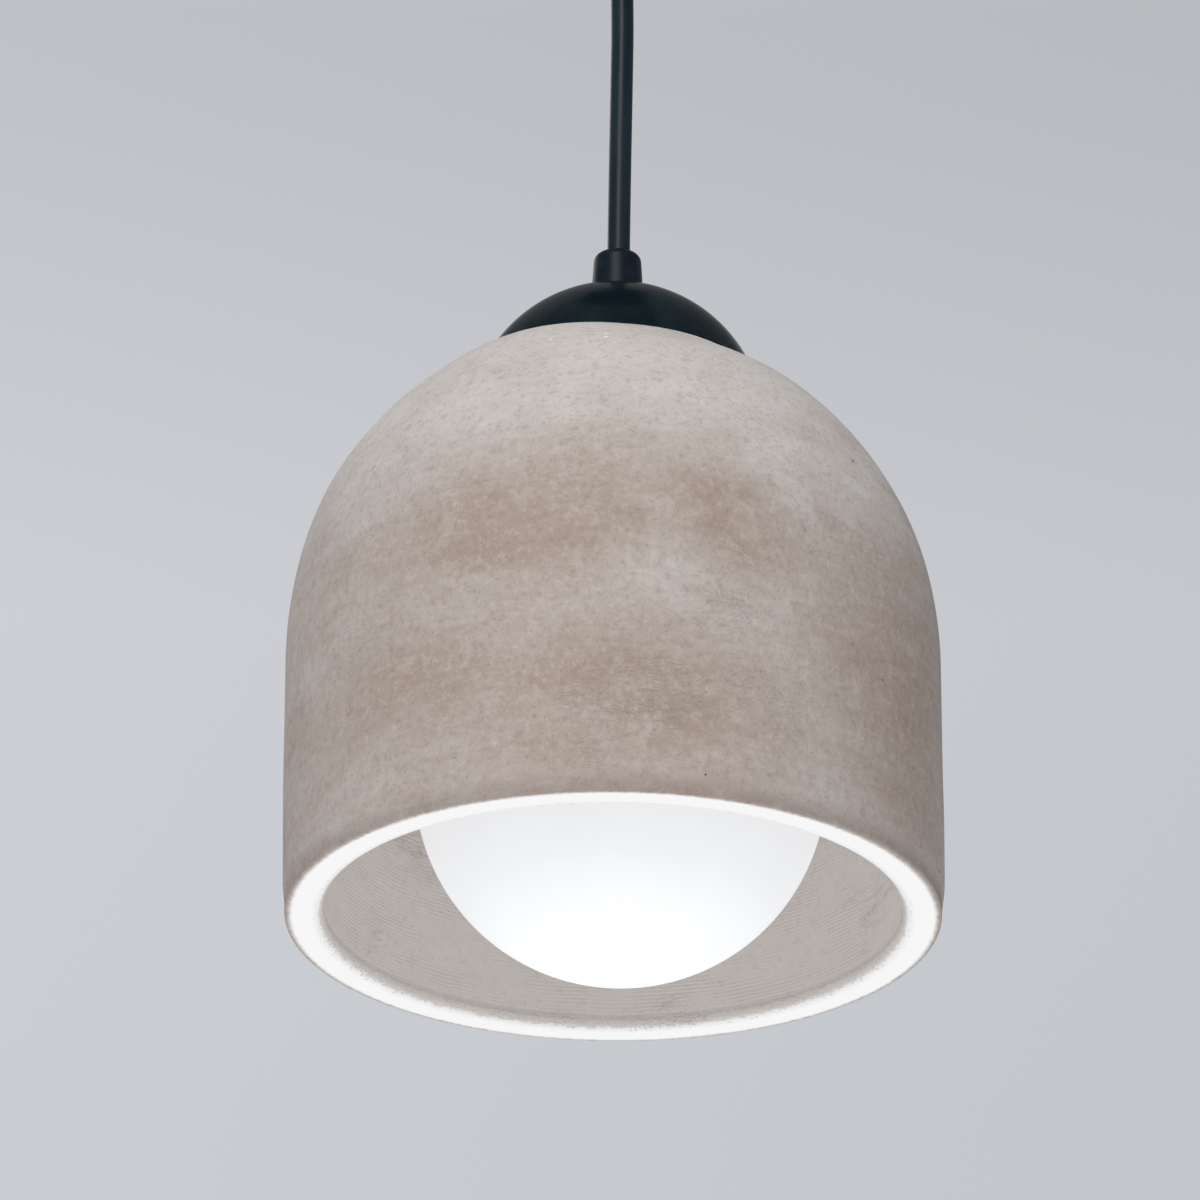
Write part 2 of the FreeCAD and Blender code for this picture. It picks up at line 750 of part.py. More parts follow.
# ---------------------------------------------------------------- globe bulb
def make_bulb():
    """The globe bulb: opal globe, neck housing, screw cap and what is inside."""
    low = bulb_centre - bulb_radius
    inner = bulb_radius - bulb_wall
    throat = bulb_centre + chord_height(bulb_radius, throat_radius)
    inner_throat_radius = throat_radius - bulb_wall
    inner_throat = bulb_centre + chord_height(inner, inner_throat_radius)
    mouth = neck_radius - bulb_wall
    turned("bulb_globe", [
        (ZERO, low),
        (throat_radius, throat, ZERO, bulb_centre, True, "h"),
        (neck_radius, neck_top),
        (mouth, neck_top),
        (inner_throat_radius, inner_throat),
        (ZERO, low + bulb_wall, ZERO, bulb_centre, False, "h"),
    ])
    spigot = mouth - cord_gap
    collar = screw_radius + housing_step
    shoulder = neck_radius - collar
    hollow = spigot - housing_wall
    hollow_round = hollow - screw_bore
    foot = neck_top - spigot_length
    turned("bulb_housing", [
        (hollow, foot),
        (spigot, foot),
        (spigot, neck_top),
        (neck_radius, neck_top),
        (collar, neck_top + shoulder, collar, neck_top, True, "h"),
        (collar, screw_foot),
        (screw_bore, screw_foot),
        (screw_bore, neck_top + hollow_round),
        (hollow, neck_top, screw_bore, neck_top, False, "r"),
    ])
    rings = wave(screw_radius, screw_depth, screw_foot, screw_length)
    neck = screw_radius - screw_depth
    turned("bulb_screw_cap", [(screw_bore, screw_foot), (neck, screw_foot)] + rings
           + [(neck, screw_top), (screw_bore, screw_top)])
    insulator_top = screw_top + insulator_height
    turned("bulb_insulator", [
        (ZERO, screw_top), (neck - shell_wall, screw_top),
        (tip_radius + shell_wall, insulator_top), (ZERO, insulator_top)])
    turned("bulb_tip", [
        (ZERO, insulator_top), (tip_radius, insulator_top),
        (tip_radius - tip_height / 2, bulb_top), (ZERO, bulb_top)])

    sink_top = foot + board_thickness + sink_thickness
    ring("heat_spreader", ZERO, hollow - cord_gap, sink_top, sink_thickness)
    ring("led_board", ZERO, hollow - cord_gap, foot + board_thickness, board_thickness)
    chips = []
    for i in range(CHIP_COUNT):
        angle = Size.of(360 * i / CHIP_COUNT)
        turn = Rotation(Vector(0, 0, 1), angle.value)
        chip = slab(f"led_chip_{i}", chip_side, chip_side, chip_height,
                    chip_circle * cosine(angle), chip_circle * sine(angle),
                    foot - chip_height - drop, turn)
        chips.append(chip)
    group("led_chips", chips)
    slab("driver_board", board_thickness, driver_width, driver_height,
         board_thickness / -2, driver_width / -2, sink_top - drop)
    rod("driver_capacitor", capacitor_radius, capacitor_height,
        board_thickness / 2 + capacitor_radius, 0, sink_top + capacitor_rise - drop)


# ---------------------------------------------------------------- ceiling rose
def make_rose():
    """The ceiling rose: cup, strap, outlet, terminal block, earth point and screws."""
    make_rose_cup()
    make_rose_strap()
    make_rose_screws()
    make_rose_outlet()
    make_rose_terminals()
    make_rose_earth()


def make_rose_cup():
    """The spun cup that covers the ceiling box, drilled for its two side screws."""
    corner_r = rose_radius - rose_round
    corner_h = rose_round - rose_height
    cup = turned("rose_cup_blank", [
        (tube_hole, -rose_height),
        (corner_r, -rose_height),
        (rose_radius, corner_h, corner_r, corner_h, True, "r"),
        (rose_radius, ZERO),
        (rose_inner, ZERO),
        (rose_inner, corner_h),
        (corner_r, rose_floor, corner_r, corner_h, False, "h"),
        (tube_hole, rose_floor),
    ], ZERO)
    drill_reach = rose_radius + cut_over
    drill = rod("rose_cup_drill", cup_screw_radius + hole_gap, drill_reach * 2,
                -drill_reach, 0, -cup_screw_drop, ALONG_X)
    less("rose_cup", cup, [drill])


def make_rose_strap():
    """The bent strap screwed to the ceiling, slotted for its screws and tapped."""
    strap = slab("strap_bar", strap_reach * 2, strap_width, strap_thickness,
                 -strap_reach, strap_width / -2, -strap_thickness)
    ears = []
    for name, low in (("left", -strap_reach), ("right", strap_reach - strap_thickness)):
        ears.append(slab(f"strap_ear_{name}", strap_thickness, ear_width, ear_height,
                         low, ear_width / -2, -ear_height))
    tapping_reach = strap_reach + cut_over
    tapping = rod("strap_tapping", cup_tap, tapping_reach * 2,
                  -tapping_reach, 0, -cup_screw_drop, ALONG_X)
    cuts = [tapping]
    flat = slot_length - slot_width
    deep = strap_thickness + cut_over * 2
    low = -strap_thickness - cut_over
    for name, way in ENDS:
        middle = slot_spacing / 2 * way
        cuts.append(slab(f"slot_{name}", flat, slot_width, deep,
                         middle - flat / 2, slot_width / -2, low))
        for side, end in ENDS:
            cuts.append(rod(f"slot_{name}_{side}_end", slot_width / 2, deep,
                            middle + flat / 2 * end, 0, low))
    cuts.append(rod("strap_earth_tapping", cup_tap, deep, earth_x, -earth_y, low))
    cuts.append(rod("strap_block_tapping", small_tap, deep, 0, block_middle, low))
    less("rose_strap", joined("rose_strap_blank", [strap] + ears), cuts)


def make_rose_screws():
    """The two side screws that hold the cup on the strap's ears."""
    screws = []
    for name, way in ENDS:
        shank_length = rose_radius - strap_reach + strap_thickness * 2
        shank_low = rose_radius * way - (shank_length if way > 0 else 0)
        head_low = rose_radius * way - (0 if way > 0 else cup_head_height)
        shank = rod(f"cup_screw_shank_{name}", cup_screw_radius, shank_length,
                    shank_low, 0, -cup_screw_drop, ALONG_X)
        head = rod(f"cup_screw_head_{name}", cup_head_radius, cup_head_height,
                   head_low, 0, -cup_screw_drop, ALONG_X)
        screws.append(joined(f"cup_screw_{name}", [shank, head]))
    group("rose_cup_screws", screws)


def make_rose_outlet():
    """The cord outlet under the cup, its clamp screw and the nut that holds it."""
    stem_top = outlet_stem - rose_height
    outlet_waist = outlet_foot + outlet_round
    outlet_crest = outlet_radius - outlet_round
    outlet = turned("rose_outlet_blank", [
        (cord_radius + outlet_flare, outlet_foot),
        (outlet_crest, outlet_foot),
        (outlet_radius, outlet_waist, outlet_crest, outlet_waist, True, "r"),
        (outlet_radius, -rose_height),
        (tube_radius, -rose_height),
        (tube_radius, stem_top),
        (cord_bore, stem_top),
        (cord_bore, cord_head_pivot),
    ], ZERO)
    side_screw("rose_outlet", outlet, outlet_radius, outlet_screw_height)
    nut("rose_outlet_nut", rose_floor + nut_height)


def make_rose_terminals():
    """The two-pole terminal block: housing, brass clamps, clamp screws and fixing screw."""
    block_low = -strap_thickness - block_height
    well = clamp_level - block_low
    block_far = block_near + block_depth
    housing = slab("rose_terminal_housing", pole_spacing * 2, block_depth, block_height,
                   -pole_spacing, block_near, block_low)
    cuts = [rod("block_drill", small_tap, block_height + cut_over * 2,
                0, block_middle, block_low - cut_over)]
    clamps = []
    clamp_screws = []
    through_length = block_depth + cut_over * 2
    screw_ways = (("near", block_near + block_depth / 4), ("far", block_far - block_depth / 4))
    for name, way in TERMINAL_SIDES:
        x = pole_spacing / 2 * way
        cuts.append(rod(f"pole_{name}", clamp_radius + thread_gap, through_length,
                        x, block_near - cut_over, clamp_level, ALONG_Y))
        barrel = rod(f"clamp_{name}", clamp_radius, block_depth - clamp_inset * 2,
                     x, block_near + clamp_inset, clamp_level, ALONG_Y)
        through = rod(f"clamp_bore_{name}", core_radius + cord_gap, through_length,
                      x, block_near - cut_over, clamp_level, ALONG_Y)
        taps = [through]
        for end, y in screw_ways:
            cuts.append(rod(f"well_{name}_{end}", small_screw_radius + cord_gap, well,
                            x, y, block_low))
            taps.append(rod(f"tap_{name}_{end}", small_tap, clamp_radius + cut_over,
                            x, y, clamp_level - clamp_radius - cut_over))
            clamp_screws.append(rod(f"clamp_screw_{name}_{end}", small_screw_radius,
                                    well - core_radius - clamp_screw_sink,
                                    x, y, block_low + clamp_screw_sink))
        clamps.append(less(f"clamp_brass_{name}", barrel, taps))
    less("rose_terminal_block", housing, cuts)
    group("rose_clamps", clamps)
    group("rose_clamp_screws", clamp_screws)
    shank = rod("block_screw_shank", small_screw_radius, block_height + strap_thickness,
                0, block_middle, block_low)
    head = rod("block_screw_head", small_head_radius, small_head_height,
               0, block_middle, block_low - small_head_height)
    joined("rose_block_screw", [shank, head])


def make_rose_earth():
    """The earth lug crimped on the earth conductor and the screw that holds it."""
    lug_foot = -strap_thickness - tag_thickness
    lug_deep = lug_radius * 2
    disc = rod("rose_lug_disc", cup_head_radius + lug_margin, tag_thickness,
               earth_x, -earth_y, lug_foot)
    barrel = rod("rose_lug_barrel", lug_radius, lug_reach, earth_x - lug_reach, -earth_y,
                 lug_level, ALONG_X)
    lug_bore = rod("rose_lug_bore", cup_screw_radius + hole_gap,
                   lug_deep + tag_thickness + cut_over, earth_x, -earth_y, lug_foot - lug_deep)
    seat = rod("rose_lug_screw_seat", cup_head_radius + hole_gap, lug_deep,
               earth_x, -earth_y, lug_foot - lug_deep)
    core_seat = rod("rose_lug_core_seat", core_radius + thread_gap, core_entry / 2 + cut_over,
                    earth_x - lug_reach - cut_over, -earth_y, lug_level, ALONG_X)
    less("rose_earth_lug", joined("rose_lug_blank", [disc, barrel]), [lug_bore, seat, core_seat])
    shank = rod("earth_screw_shank", cup_screw_radius, strap_thickness + tag_thickness,
                earth_x, -earth_y, lug_foot)
    head = rod("earth_screw_head", cup_head_radius, cup_head_height,
               earth_x, -earth_y, lug_foot - cup_head_height)
    joined("rose_earth_screw", [shank, head])


# ---------------------------------------------------------------- build, check and write
NODES = [
    "shade", "cap_dome", "cord_grip", "cord_grip_screw", "threaded_tube", "crown_washer",
    "crown_nut", "shade_pad", "support_washer", "support_nut", "holder_nut", "earth_tag",
    "holder_cap", "holder_skirt", "contact_block", "screw_shell", "centre_contact",
    "holder_terminals", "holder_terminal_screws", "live_core", "neutral_core", "earth_core",
    "cord", "cord_foot", "cord_head", "bulb_globe", "bulb_housing", "bulb_screw_cap",
    "bulb_insulator", "bulb_tip", "heat_spreader", "led_board", "led_chips", "driver_board",
    "driver_capacitor", "rose_cup", "rose_strap", "rose_cup_screws", "rose_outlet",
    "rose_outlet_screw", "rose_outlet_nut", "rose_terminal_block", "rose_clamps",
    "rose_clamp_screws", "rose_block_screw", "rose_earth_lug", "rose_earth_screw",
    "rose_live_core", "rose_neutral_core", "rose_earth_core",
]


def check_document():
    """Stop if any feature failed or any node's shape is missing or broken."""
    for thing in doc.Objects:
        if "Invalid" in thing.State or "Error" in thing.State:
            raise RuntimeError(f"{thing.Name} failed: {thing.State}")
    for label in NODES:
        shape = doc.getObjectsByLabel(label)[0].Shape
        if shape.isNull() or not shape.isValid() or shape.Volume <= 0:
            raise RuntimeError(f"{label} has no valid solid")


def write_nodes():
    """Write each node to its own file in parts/."""
    os.makedirs("parts", exist_ok=True)
    for label in NODES:
        doc.getObjectsByLabel(label)[0].Shape.exportStep(f"parts/{label}.step")


def main():
    """Build every piece, check it and write it."""
    doc.recompute()
    make_shade()
    make_cap()
    make_fixings()
    make_grip()
    make_cord()
    make_cores()
    make_holder()
    make_bulb()
    make_rose()
    doc.recompute()
    check_document()
    write_nodes()


main()
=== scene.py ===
"""Pendant ceiling light: a cast concrete shade under a spun steel cap, on a black cord.

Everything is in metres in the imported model's frame: the origin is the middle of the ceiling
rose's face on the ceiling, +Z points up, and sizes written in millimetres are turned into
metres where a mesh is made. Heights of the lamp's pieces are counted up from the shade's rim.
"""

import logging
from dataclasses import dataclass
from enum import Enum
from math import acos, asin, cos, degrees, pi, radians, sin, sqrt, tan
from typing import Callable, Sequence

import bpy
import numpy as np
from bpy.types import ID, Material, Node, NodeSocket, NodeTree, Object
from mathutils import Matrix, Quaternion, Vector


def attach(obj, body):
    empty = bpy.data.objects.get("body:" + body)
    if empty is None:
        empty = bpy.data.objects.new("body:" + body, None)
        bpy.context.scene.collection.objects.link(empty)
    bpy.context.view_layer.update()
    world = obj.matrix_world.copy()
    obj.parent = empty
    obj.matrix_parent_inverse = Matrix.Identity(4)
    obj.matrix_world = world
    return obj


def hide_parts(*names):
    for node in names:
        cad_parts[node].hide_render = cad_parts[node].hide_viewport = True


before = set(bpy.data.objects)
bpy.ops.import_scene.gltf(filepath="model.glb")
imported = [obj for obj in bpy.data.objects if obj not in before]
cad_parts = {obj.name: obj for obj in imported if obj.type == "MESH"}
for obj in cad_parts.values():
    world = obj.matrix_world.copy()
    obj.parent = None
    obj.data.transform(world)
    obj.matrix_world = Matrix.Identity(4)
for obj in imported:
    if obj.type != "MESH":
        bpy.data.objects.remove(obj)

LOG = logging.getLogger("pendant")
MM = 0.001
DROP = 374.0  # from the ceiling down to the shade's rim
SPRING = 89.4  # height above the rim where the shade's sides start to close in
SKIN = 93.0  # farther than this from the shade's middle, a point is on its outside

Point = tuple[float, float]
Triple = tuple[float, float, float]
Colour = tuple[float, float, float, float]
Grid = np.ndarray
Grids = tuple[Grid, Grid, Grid]
Relief = Callable[[Grid, Grid, Grid], Grids]


class Body(Enum):
    """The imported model's moving bodies."""

    ROSE = "rose"
    CORD = "cord"
    LAMP = "lamp"
    BULB = "bulb"


class Datum(Enum):
    """Where a turned piece's heights are counted from."""

    CEILING = 0.0
    RIM = -DROP


def paint(red: float, green: float, blue: float) -> Colour:
    """Linear colour from a paint-card reading of 0 to 255.

    Args:
        red, green, blue: the card's three readings.

    Returns:
        The linear colour with an alpha of 1.
    """
    parts = []
    for value in (red, green, blue):
        share = value / 255
        parts.append(share / 12.92 if share <= 0.04045 else ((share + 0.055) / 1.055) ** 2.4)
    return (*parts, 1.0)


def tinted(colour: Colour, factor: float, lift: float = 0.0) -> Colour:
    """A colour made lighter or darker."""
    return (*(min(1.0, value * factor + lift) for value in colour[:3]), 1.0)


def smooth(share: Grid) -> Grid:
    """Ease shares from 0 to 1 in and out."""
    return share * share * (3 - 2 * share)


# ---- shader building
def operator(operation: str, swapped: bool = False) -> Callable[["Signal", object], "Signal"]:
    """Make an arithmetic method that adds one Math node.

    Args:
        operation: the Math node's operation.
        swapped: whether the signal comes second.

    Returns:
        The method.
    """
    def method(self: "Signal", other: object) -> "Signal":
        return self.join(operation, *((other, self) if swapped else (self, other)))

    return method


class Signal:
    """A node socket that writes its sums as Math nodes."""

    __add__ = operator("ADD")
    __radd__ = operator("ADD", swapped=True)
    __sub__ = operator("SUBTRACT")
    __rsub__ = operator("SUBTRACT", swapped=True)
    __mul__ = operator("MULTIPLY")
    __rmul__ = operator("MULTIPLY", swapped=True)
    __truediv__ = operator("DIVIDE")
    __pow__ = operator("POWER")

    def __init__(self, mixer: "Mixer", socket: NodeSocket) -> None:
        """Keep the mixer that owns the socket."""
        self.mixer = mixer
        self.socket = socket

    def join(self, operation: str, *values: object, clamp: bool = False) -> "Signal":
        """Add one Math node.

        Args:
            operation: the Math node's operation.
            values: signals or numbers for its sockets, in order.
            clamp: whether the result is held between 0 and 1.

        Returns:
            The node's result.
        """
        settings = {"operation": operation, "use_clamp": clamp}
        return self.mixer.signal(
            self.mixer.node("ShaderNodeMath", settings, dict(enumerate(values))))

    def __abs__(self) -> "Signal":
        """Size without its sign."""
        return self.join("ABSOLUTE", self)

    def clamped(self) -> "Signal":
        """Held between 0 and 1."""
        return self.join("ADD", self, 0.0, clamp=True)

    def wave(self) -> "Signal":
        """Sine of the signal."""
        return self.join("SINE", self)

    def step(self, low: float, high: float) -> "Signal":
        """Smooth step.

        Args:
            low: value at which the step starts.
            high: value at which it is done; below low, the step falls.

        Returns:
            0 before the step, 1 after it.
        """
        return self.mixer.signal(self.mixer.node(
            "ShaderNodeMapRange", {"interpolation_type": "SMOOTHSTEP"},
            {0: self, 1: min(low, high), 2: max(low, high), 3: float(low > high),
             4: float(low < high)}))


class Mixer:
    """Builds the nodes of one material or of the world."""

    def __init__(self, tree: NodeTree) -> None:
        """Start on an empty node tree."""
        self.tree = tree
        tree.nodes.clear()

    def node(
        self, kind: str, settings: dict[str, object] | None = None,
        values: dict[object, object] | None = None
    ) -> Node:
        """Add one node of any type.

        Args:
            kind: the node's type name.
            settings: its properties, set first.
            values: numbers, colours, signals or sockets for its sockets, by name or place.

        Returns:
            The node.
        """
        made = self.tree.nodes.new(kind)
        for name, setting in (settings or {}).items():
            setattr(made, name, setting)
        for key, value in (values or {}).items():
            self.feed(made.inputs[key], value)
        return made

    def feed(self, socket: NodeSocket, value: object) -> None:
        """Link a signal or a socket into a socket, or set its value.

        Args:
            socket: the input.
            value: what it gets.
        """
        value = getattr(value, "socket", value)
        if isinstance(value, NodeSocket):
            self.tree.links.new(value, socket)
        else:
            socket.default_value = value

    def signal(self, made: Node, output: object = 0) -> Signal:
        """One of a node's outputs as a signal."""
        return Signal(self, made.outputs[output])

    def place(self, stretch: Triple = (1.0, 1.0, 1.0)) -> Signal:
        """The object's own coordinates in millimetres.

        Args:
            stretch: factor on each axis; above 1, patterns get shorter along it.

        Returns:
            The coordinates as a vector signal.
        """
        own = self.node("ShaderNodeTexCoord")
        scale = tuple(value / MM for value in stretch)
        return self.signal(self.node(
            "ShaderNodeVectorMath", {"operation": "MULTIPLY"},
            {0: own.outputs["Object"], 1: scale}))

    def axes(self, vector: Signal) -> tuple[Signal, Signal, Signal]:
        """A vector's three parts."""
        made = self.node("ShaderNodeSeparateXYZ", None, {0: vector})
        return tuple(self.signal(made, axis) for axis in range(3))

    def noise(
        self, vector: Signal, size: float, detail: float = 3.0, rough: float = 0.5,
        warp: float = 0.0
    ) -> Signal:
        """Cloudy noise.

        Args:
            vector: where it is read, in millimetres.
            size: how large its lumps are, in millimetres.
            detail: how many finer layers it has.
            rough: how strong the finer layers are.
            warp: how far it is pulled about by itself.

        Returns:
            A value around 0.5.
        """
        return self.signal(self.node(
            "ShaderNodeTexNoise", None,
            {"Vector": vector, "Scale": 1 / size, "Detail": detail, "Roughness": rough,
             "Distortion": warp}))

    def cells(self, vector: Signal, size: float, chance: float, spread: float) -> Signal:
        """Scattered round spots.

        Args:
            vector: where they are read, in millimetres.
            size: distance between neighbouring spots' seats.
            chance: share of the seats that hold a spot.
            spread: radius of a spot in millimetres.

        Returns:
            1 in a spot, 0 outside.
        """
        made = self.node(
            "ShaderNodeTexVoronoi", {"feature": "F1"},
            {"Vector": vector, "Scale": 1 / size, "Randomness": 1.0})
        near = self.signal(made, "Distance") * size
        pick, girth, _ = self.axes(self.signal(made, "Color"))
        radius = spread * (0.5 + girth)
        inside = (radius - near).step(-0.12 * spread, 0.12 * spread)
        return inside * pick.step(1 - chance + 0.01, 1 - chance + 0.02)

    def blend(self, factor: object, first: object, second: object) -> Signal:
        """Mix two colours.

        Args:
            factor: share of the second colour.
            first: colour or signal.
            second: colour or signal.

        Returns:
            The mixed colour.
        """
        return self.signal(self.node(
            "ShaderNodeMix", {"data_type": "RGBA", "clamp_factor": True},
            {0: factor, 6: first, 7: second}), 2)

    def coats(self, under: object, *coats: tuple[Signal, Colour]) -> Signal:
        """Lay colours over one another.

        Args:
            under: colour or signal at the bottom.
            coats: share and colour of each coat, from the bottom up.

        Returns:
            The colour that shows.
        """
        for share, colour in coats:
            under = self.blend(share, under, colour)
        return under

    def ramp(self, along: Signal, *stops: tuple[float, Colour]) -> Signal:
        """Colours along a value.

        Args:
            along: the value, from 0 to 1.
            stops: places from 0 to 1 with their colours, in order.

        Returns:
            The colour.
        """
        made = self.node("ShaderNodeValToRGB", None, {"Fac": along})
        elements = made.color_ramp.elements
        while len(elements) < len(stops):
            elements.new(0.5)
        for element, (place, colour) in zip(elements, stops):
            element.position = place
            element.color = colour
        return self.signal(made)

    def bump(self, height: Signal, depth: float, under: Signal | None = None) -> Signal:
        """Relief in the shading.

        Args:
            height: value from 0 to 1.
            depth: how deep 1 is, in millimetres.
            under: relief that this one is laid over.

        Returns:
            The normal.
        """
        values: dict[object, object] = {"Height": height, "Strength": 1.0, "Distance": depth * MM}
        if under is not None:
            values["Normal"] = under
        return self.signal(self.node("ShaderNodeBump", None, values))

    def surface(self, **values: object) -> None:
        """Finish a material with its Principled shader.

        Args:
            values: the shader's sockets, with _ for a space.
        """
        named = {key.replace("_", " "): value for key, value in values.items()}
        shader = self.node("ShaderNodeBsdfPrincipled", None, named)
        self.node("ShaderNodeOutputMaterial", None, {"Surface": shader.outputs[0]})


# ---- finishes
@dataclass(frozen=True)
class Finish:
    """A finish that several pieces can share."""

    name: str
    slot: str

    def material(self) -> Material:
        """The finish's material, made the first time it is asked for."""
        found = bpy.data.materials.get(self.name)
        if found is None:
            found = bpy.data.materials.new(self.name)
            found.use_nodes = True
            self.mix(Mixer(found.node_tree))
        return found

    def mix(self, mixer: Mixer) -> None:
        """Build the finish's nodes."""
        raise NotImplementedError(self.name)


@dataclass(frozen=True)
class Stain:
    """A soft cloud cast into the concrete, at a side angle and a height."""

    turn: float
    height: float
    wide: float
    tall: float
    depth: float


@dataclass(frozen=True)
class CastConcrete(Finish):
    """Bare cast concrete: pale bloom, brown clouds with painted shade lower down, creases, grain,
    pores painted dark as shade, a lining painted paler as light from the bulb, and a limewashed
    rim.
    """

    pale: Colour
    brown: Colour
    # paler than the outside: painted light from the bulb on the inner wall
    inside: Colour
    lime: Colour
    stains: tuple[Stain, ...]
    tool_step: float = 1.25

    def clouds(self, mixer: Mixer, place: Signal, height: Signal) -> Signal:
        """How brown the concrete is, with painted shade lower down.

        Args:
            mixer: the material's mixer.
            place: coordinates in millimetres.
            height: height above the rim.

        Returns:
            0 where it is pale, 1 where it is brown.
        """
        broad = mixer.noise(mixer.place((1.0, 1.0, 1.9)), 62.0, 5.0, 0.55, 0.5) - 0.5
        patchy = mixer.noise(place, 17.0, 6.0, 0.62, 0.8) - 0.5
        streaks = mixer.noise(mixer.place((1.0, 1.0, 5.0)), 30.0, 5.0, 0.6, 1.2) - 0.5
        # browner towards the bottom, paler towards the top: partly the cast's own tone, partly
        # painted shade of light falling from above
        browner_below_and_shade = height.step(168.0, 84.0)
        total = browner_below_and_shade * 0.56 + broad * 0.8 + patchy * 0.8 + streaks * 0.55
        across, deep, _ = mixer.axes(place)
        angle = across.join("ARCTAN2", across, deep * -1.0) * (180 / pi)
        ragged = patchy * 2.2
        for stain in self.stains:
            side = (angle - stain.turn) / stain.wide
            rise = (height - stain.height) / stain.tall
            reach = (side * side + rise * rise) ** 0.5
            total = total + (reach + ragged).step(1.45, 0.05) * stain.depth
        return total.clamped()

    def creases(self, mixer: Mixer) -> tuple[Signal, Signal]:
        """Fine cracks and folds left by the wet mix.

        Args:
            mixer: the material's mixer.

        Returns:
            The lines, and where they are allowed to show.
        """
        bent = mixer.noise(mixer.place((1.0, 1.0, 2.6)), 34.0, 7.0, 0.6, 1.6)
        line = abs(bent - 0.5).step(0.016, 0.0)
        fine = mixer.noise(mixer.place((1.0, 1.0, 1.7)), 13.0, 5.0, 0.55, 2.2)
        thin = abs(fine - 0.48).step(0.012, 0.0)
        where = mixer.noise(mixer.place(), 28.0, 2.0).step(0.5, 0.66)
        return (line * 0.7 + thin * 0.6).clamped(), where

    def mix(self, mixer: Mixer) -> None:
        """Build the concrete's nodes."""
        place = mixer.place()
        across, deep, up = mixer.axes(place)
        height = up + DROP
        reach = (across * across + deep * deep) ** 0.5
        above = height - SPRING
        rise = above.join("MAXIMUM", above, 0.0)
        outer = ((reach * reach + rise * rise) ** 0.5).step(SKIN, SKIN + 0.4)

        grain = mixer.noise(place, 1.1, 3.0, 0.7) - 0.5
        sand = mixer.noise(place, 2.5, 4.0, 0.7) - 0.5
        bloom = mixer.noise(place, 8.0, 4.0, 0.6, 0.6) - 0.5
        lines, where = self.creases(mixer)
        lines = lines * where * height.step(92.0, 56.0)
        foot = (height + sand * 5.0).step(7.5, 1.0)
        flecks = mixer.cells(place, 3.3, 0.22, 0.42) * (height + bloom * 30).step(148, 162)
        # pinholes: bumped as pits below, and their dark colour is painted shade in them
        pores = mixer.cells(place, 9.0, 0.15, 0.34)
        specks = mixer.cells(mixer.place((1.0, 1.0, 1.6)), 3.7, 0.10, 0.26)
        outside = mixer.coats(
            mixer.blend(self.clouds(mixer, place, height), self.pale, self.brown),
            (sand.step(0.02, 0.16) * 0.28, paint(142, 124, 113)),
            (sand.step(-0.02, -0.16) * 0.20, paint(214, 208, 204)),
            (bloom.step(0.02, 0.2) * 0.22, paint(206, 197, 190)),
            (grain.step(0.04, 0.2) * 0.30, paint(120, 106, 98)),
            (lines * 0.34, paint(214, 206, 199)),
            (foot * 0.30, paint(112, 96, 86)),
            (flecks * 0.8, paint(246, 243, 238)),
            # painted shade in the pinholes
            (pores * 0.85, paint(58, 50, 46)),
            (specks * 0.28, paint(96, 84, 77)))

        wander = (mixer.noise(place, 16.0) - 0.5) * 2.4
        swirl = ((height + wander) * (2 * pi / self.tool_step)).wave() * 0.5 + 0.5
        skip = mixer.noise(mixer.place((1.0, 1.0, 3.0)), 22.0, 3.0, 0.55).step(0.36, 0.62)
        rings = swirl * skip
        # the inner wall's colour is painted paler as light from the bulb
        lining = mixer.coats(
            self.inside,
            ((bloom + 0.1) * 0.9, paint(200, 196, 192)),
            (sand.step(0.02, 0.2) * 0.16, paint(138, 128, 120)),
            (rings * 0.07, paint(120, 110, 103)),
            # painted shade in the pinholes
            (pores * 0.6, paint(84, 74, 68)))

        feather = (mixer.noise(place, 1.3, 4.0, 0.7) - 0.5) * 2.6 + sand * 2.0
        inner_edge = (reach + feather).step(88.2, 89.3)
        outer_edge = (reach + feather * 0.5).step(98.7, 96.7)
        face = (height + feather * 0.4).step(2.9, 1.5)
        lime = inner_edge * outer_edge * face
        crumbs = mixer.cells(place, 1.5, 0.35, 0.5)
        lip = reach.step(91.5, 89.0) * height.step(4.5, 2.5)
        coat = mixer.coats(
            self.lime,
            (grain.step(0.1, 0.3) * 0.3, paint(214, 209, 204)),
            (crumbs * lip * 0.3, paint(130, 120, 112)))

        relief = mixer.bump((grain + sand) * 0.5, 0.22)
        relief = mixer.bump(lines * (1.0 - lime), 0.12, relief)
        relief = mixer.bump(1.0 - pores, 0.5, relief)
        relief = mixer.bump(rings * (1.0 - outer) * height.step(2.0, 5.0), 0.07, relief)
        relief = mixer.bump(mixer.noise(place, 0.9, 3.0, 0.7) * lip, 0.8, relief)
        mixer.surface(
            Base_Color=mixer.blend(lime, mixer.blend(outer, lining, outside), coat),
            Roughness=0.80 + sand * 0.3 + lime * 0.08, Normal=relief, IOR=1.45,
            Specular_IOR_Level=0.3)


